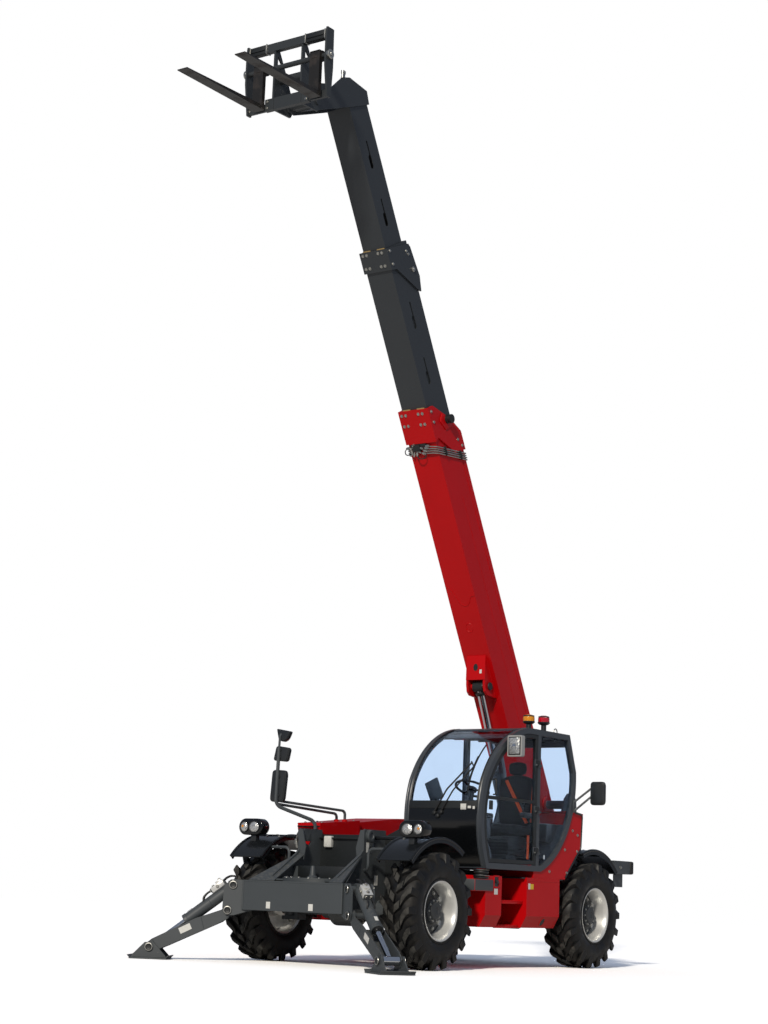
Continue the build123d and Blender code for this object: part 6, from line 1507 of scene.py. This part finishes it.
# Light grey paint of the work lamp's housing.
lamp_grey = stained_finish("light_grey_lamp_paint", "#8f9190", "#a4a5a3", 0.06, 5.0, 0.35)
coat(lamp_grey, "work_lamp")
face_x, lamp_y, lamp_z = -0.545, 1.250, 2.325
bezel = bar((face_x - 0.002, lamp_y - 0.074, lamp_z - 0.096),
            (face_x + 0.004, lamp_y + 0.074, lamp_z + 0.096), 0.003)
settle(bezel, "work_lamp_bezel", "door", "black_plastic", gloss_black)
lens = [bar((face_x + 0.002, lamp_y - 0.064, lamp_z - 0.086),
            (face_x + 0.008, lamp_y + 0.064, lamp_z + 0.086), 0.004)]
lens += [bar((face_x + 0.006, lamp_y - 0.062, lamp_z - 0.060 + 0.040 * n),
             (face_x + 0.011, lamp_y + 0.062, lamp_z - 0.054 + 0.040 * n), 0.002, 1) for n in range(4)]
settle(joined(lens), "work_lamp_lens", "door", "lamp", reflector)
bulb = turned([(0.020, 0.0), (0.024, 0.004), (0.022, 0.010), (0.008, 0.013)], 24)
settle(copied(bulb, seat((face_x + 0.006, lamp_y, lamp_z), (1, 0, 0)))[0], "work_lamp_bulb", "door",
       "chrome", chrome)
drop(bulb)
coat(gloss_black, "tail_lamps")
for side, way in (("left", 1), ("right", -1)):
    for name, y0, y1, colour in (("stop", 0.815, 0.960, red_lens), ("winker", 0.965, 1.055, amber_lens)):
        lens = bar((-3.504, min(way * y0, way * y1), 1.100), (-3.496, max(way * y0, way * y1), 1.170),
                   0.004)
        settle(lens, "tail_%s_%s" % (name, side), "chassis", "lamp", colour)

coat(grained_plastic, "roof_beacons")
for name, x, y, colour in (("amber", -1.700, 0.720, amber_lens), ("red", -1.860, 0.820, red_lens)):
    lens = turned([(0.052, 2.698), (0.0635, 2.700), (0.0650, 2.712), (0.0645, 2.742), (0.060, 2.758),
                   (0.050, 2.768), (0.030, 2.7745), (0.008, 2.776)], 40)
    settle(copied(lens, Matrix.Translation((x, y, 0)))[0], name + "_beacon_lens", "chassis", "beacon",
           colour)
    base = turned([(0.030, 2.668), (0.050, 2.672), (0.068, 2.688), (0.070, 2.696), (0.066, 2.701),
                   (0.050, 2.702)], 40)
    settle(copied(base, Matrix.Translation((x, y, 0)))[0], name + "_beacon_base", "chassis",
           "black_plastic", grained_plastic)
    drop(lens, base)


# ---- mirrors ------------------------------------------------------------------------------
# Bent steel tubes in grey enamel; black moulded heads with silvered glass on their rear faces
# stand behind the upright tube. One more head hangs behind the door.

# Silvered glass, a little hazy.
silvered, tree, place, shader = blank_finish("silvered_mirror_glass")
haze = add_node(tree, "TexNoise", [("Vector", place)], Scale=1 / 0.1, Detail=3.0)
sheen = add_node(tree, "MapRange", [("Value", haze)], To_Min=0.02, To_Max=0.08)
feed(shader, Roughness=sheen)
shader.inputs["Base Color"].default_value = linear("#dfe3e6")
shader.inputs["Metallic"].default_value = 1.0
mast = [pipe(0.019, [(0.700, -0.409, 1.370), (0.700, -0.409, 1.450), (1.000, -0.715, 1.600),
                     (1.000, -0.705, 2.200)], 0.06),
        pipe(0.013, [(1.000, -0.705, 2.190), (0.996, -0.703, 2.330), (0.985, -0.690, 2.350)], 0.02),
        pipe(0.015, [(0.130, -0.450, 1.470), (0.130, -0.450, 1.590), (0.985, -0.712, 1.650)], 0.04),
        pipe(0.015, [(0.130, -0.560, 1.470), (0.130, -0.560, 1.560), (0.985, -0.700, 1.615)], 0.04),
        bar((-2.030, 1.140, 1.700), (-1.990, 1.154, 1.840), 0.004),
        pipe(0.012, [(-2.010, 1.150, 1.820), (-2.110, 1.330, 1.990)], 0),
        pipe(0.012, [(-2.010, 1.150, 1.720), (-2.110, 1.330, 1.900)], 0)]
mast = settle(joined(mast), "mirror_tubes", "chassis", "dark_grey_paint", grey_enamel)
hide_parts("mirrors")


def soft_outline(corners, radius, steps=5):
    """The same corners, each drawn round."""
    points = []
    for n in range(len(corners)):
        corner = Vector(corners[n])
        ahead_of, behind = Vector(corners[(n + 1) % len(corners)]), Vector(corners[n - 1])
        start = corner + (behind - corner).normalized() * radius
        end = corner + (ahead_of - corner).normalized() * radius
        points += [start.lerp(corner, s / steps).lerp(corner.lerp(end, s / steps), s / steps)
                   for s in range(steps + 1)]
    return points


mirror_heads = (                    # rear face's x, roundness, corners (y, z) of the moulded shell
    (0.940, 0.045, ((-0.795, 1.975), (-0.605, 1.965), (-0.632, 1.630), (-0.816, 1.640))),
    (0.940, 0.030, ((-0.757, 2.226), (-0.575, 2.200), (-0.606, 2.054), (-0.792, 2.070))),
    (0.944, 0.020, ((-0.756, 2.404), (-0.570, 2.372), (-0.610, 2.292), (-0.660, 2.262), (-0.724, 2.286))),
    (-2.140, 0.040, ((1.300, 2.050), (1.480, 2.050), (1.480, 1.790), (1.300, 1.790))))
shells, faces, frames = [], [], []
for x, roundness, corners in mirror_heads:
    middle = [sum(corner[n] for corner in corners) / len(corners) for n in (0, 1)]
    edges = [soft_outline([(x, middle[0] + (y - middle[0]) * size, middle[1] + (z - middle[1]) * size)
                           for y, z in corners], roundness * size) for size in (1.0, 0.90, 0.84)]
    shells.append(plate(edges[0], (0.046, 0, 0), 0.013))
    shells.append(plate([point + Vector((0.044, 0, 0)) for point in edges[1]], (0.008, 0, 0), 0.004))
    faces.append(plate(edges[2], (-0.002, 0, 0)))
    frames.append(pipe(0.005, edges[1] + edges[1][:1], 0, 1))
settle(joined(shells), "mirror_shells", "chassis", "black_plastic", grained_plastic)
settle(joined(faces), "mirror_glass", "chassis", "glass", silvered)
settle(joined(frames), "mirror_rims", "chassis", "black_plastic", black_rubber)
clamps = [bar((0.974, -0.736, z - 0.014), (1.006, -0.680, z + 0.014), 0.005)
          for z in (1.700, 1.900, 2.100, 2.180)]
settle(joined(clamps), "mirror_clamps", "chassis", "black_plastic", grained_plastic)


# ---- rear bumper and hitch ----------------------------------------------------------------
# Square tube bumper in frame enamel with rubber corner rolls, and a drawbar hitch on the
# axle's plate.
coat(grey_enamel, "rear_bumper", "rear_hitch")
rolls = []
for way in (1, -1):
    roll = turned([(0.030, 1.062), (0.040, 1.066), (0.044, 1.078), (0.044, 1.192), (0.040, 1.204),
                   (0.030, 1.208)], 28)
    rolls += copied(roll, Matrix.Translation((-3.462, way * 1.078, 0)))
    drop(roll)
settle(joined(rolls), "bumper_corner_rolls", "chassis", "black_plastic", black_rubber)
bumper_bolts = [seat((-3.200, way * 1.100, 1.135), (0, way, 0)) for way in (1, -1)]
bumper_bolts += [seat((-3.470, way * 0.45, z), (-1, 0, 0)) for way in (1, -1) for z in (1.100, 1.170)]
bolts("bumper_bolts", bumper_bolts, 0.030, "chassis")
hitch_pin = turned([(0.008, 0.770), (0.0155, 0.774), (0.0155, 0.925), (0.026, 0.927), (0.026, 0.940),
                    (0.012, 0.944), (0.012, 0.965), (0.006, 0.968)], 20)
settle(copied(hitch_pin, Matrix.Translation((-3.460, 0, 0)))[0], "hitch_pin", "chassis", "chrome", zinc)
drop(hitch_pin)
bolts("hitch_bolts", [seat((-3.430, y, z), (-1, 0, 0)) for y in (-0.088, 0.088) for z in (0.765, 0.955)],
      0.028, "chassis")


# ---- leftovers ----------------------------------------------------------------------------
# The bolt models, of which only copies were wanted, are taken away.
drop(*bolt_heads.values())
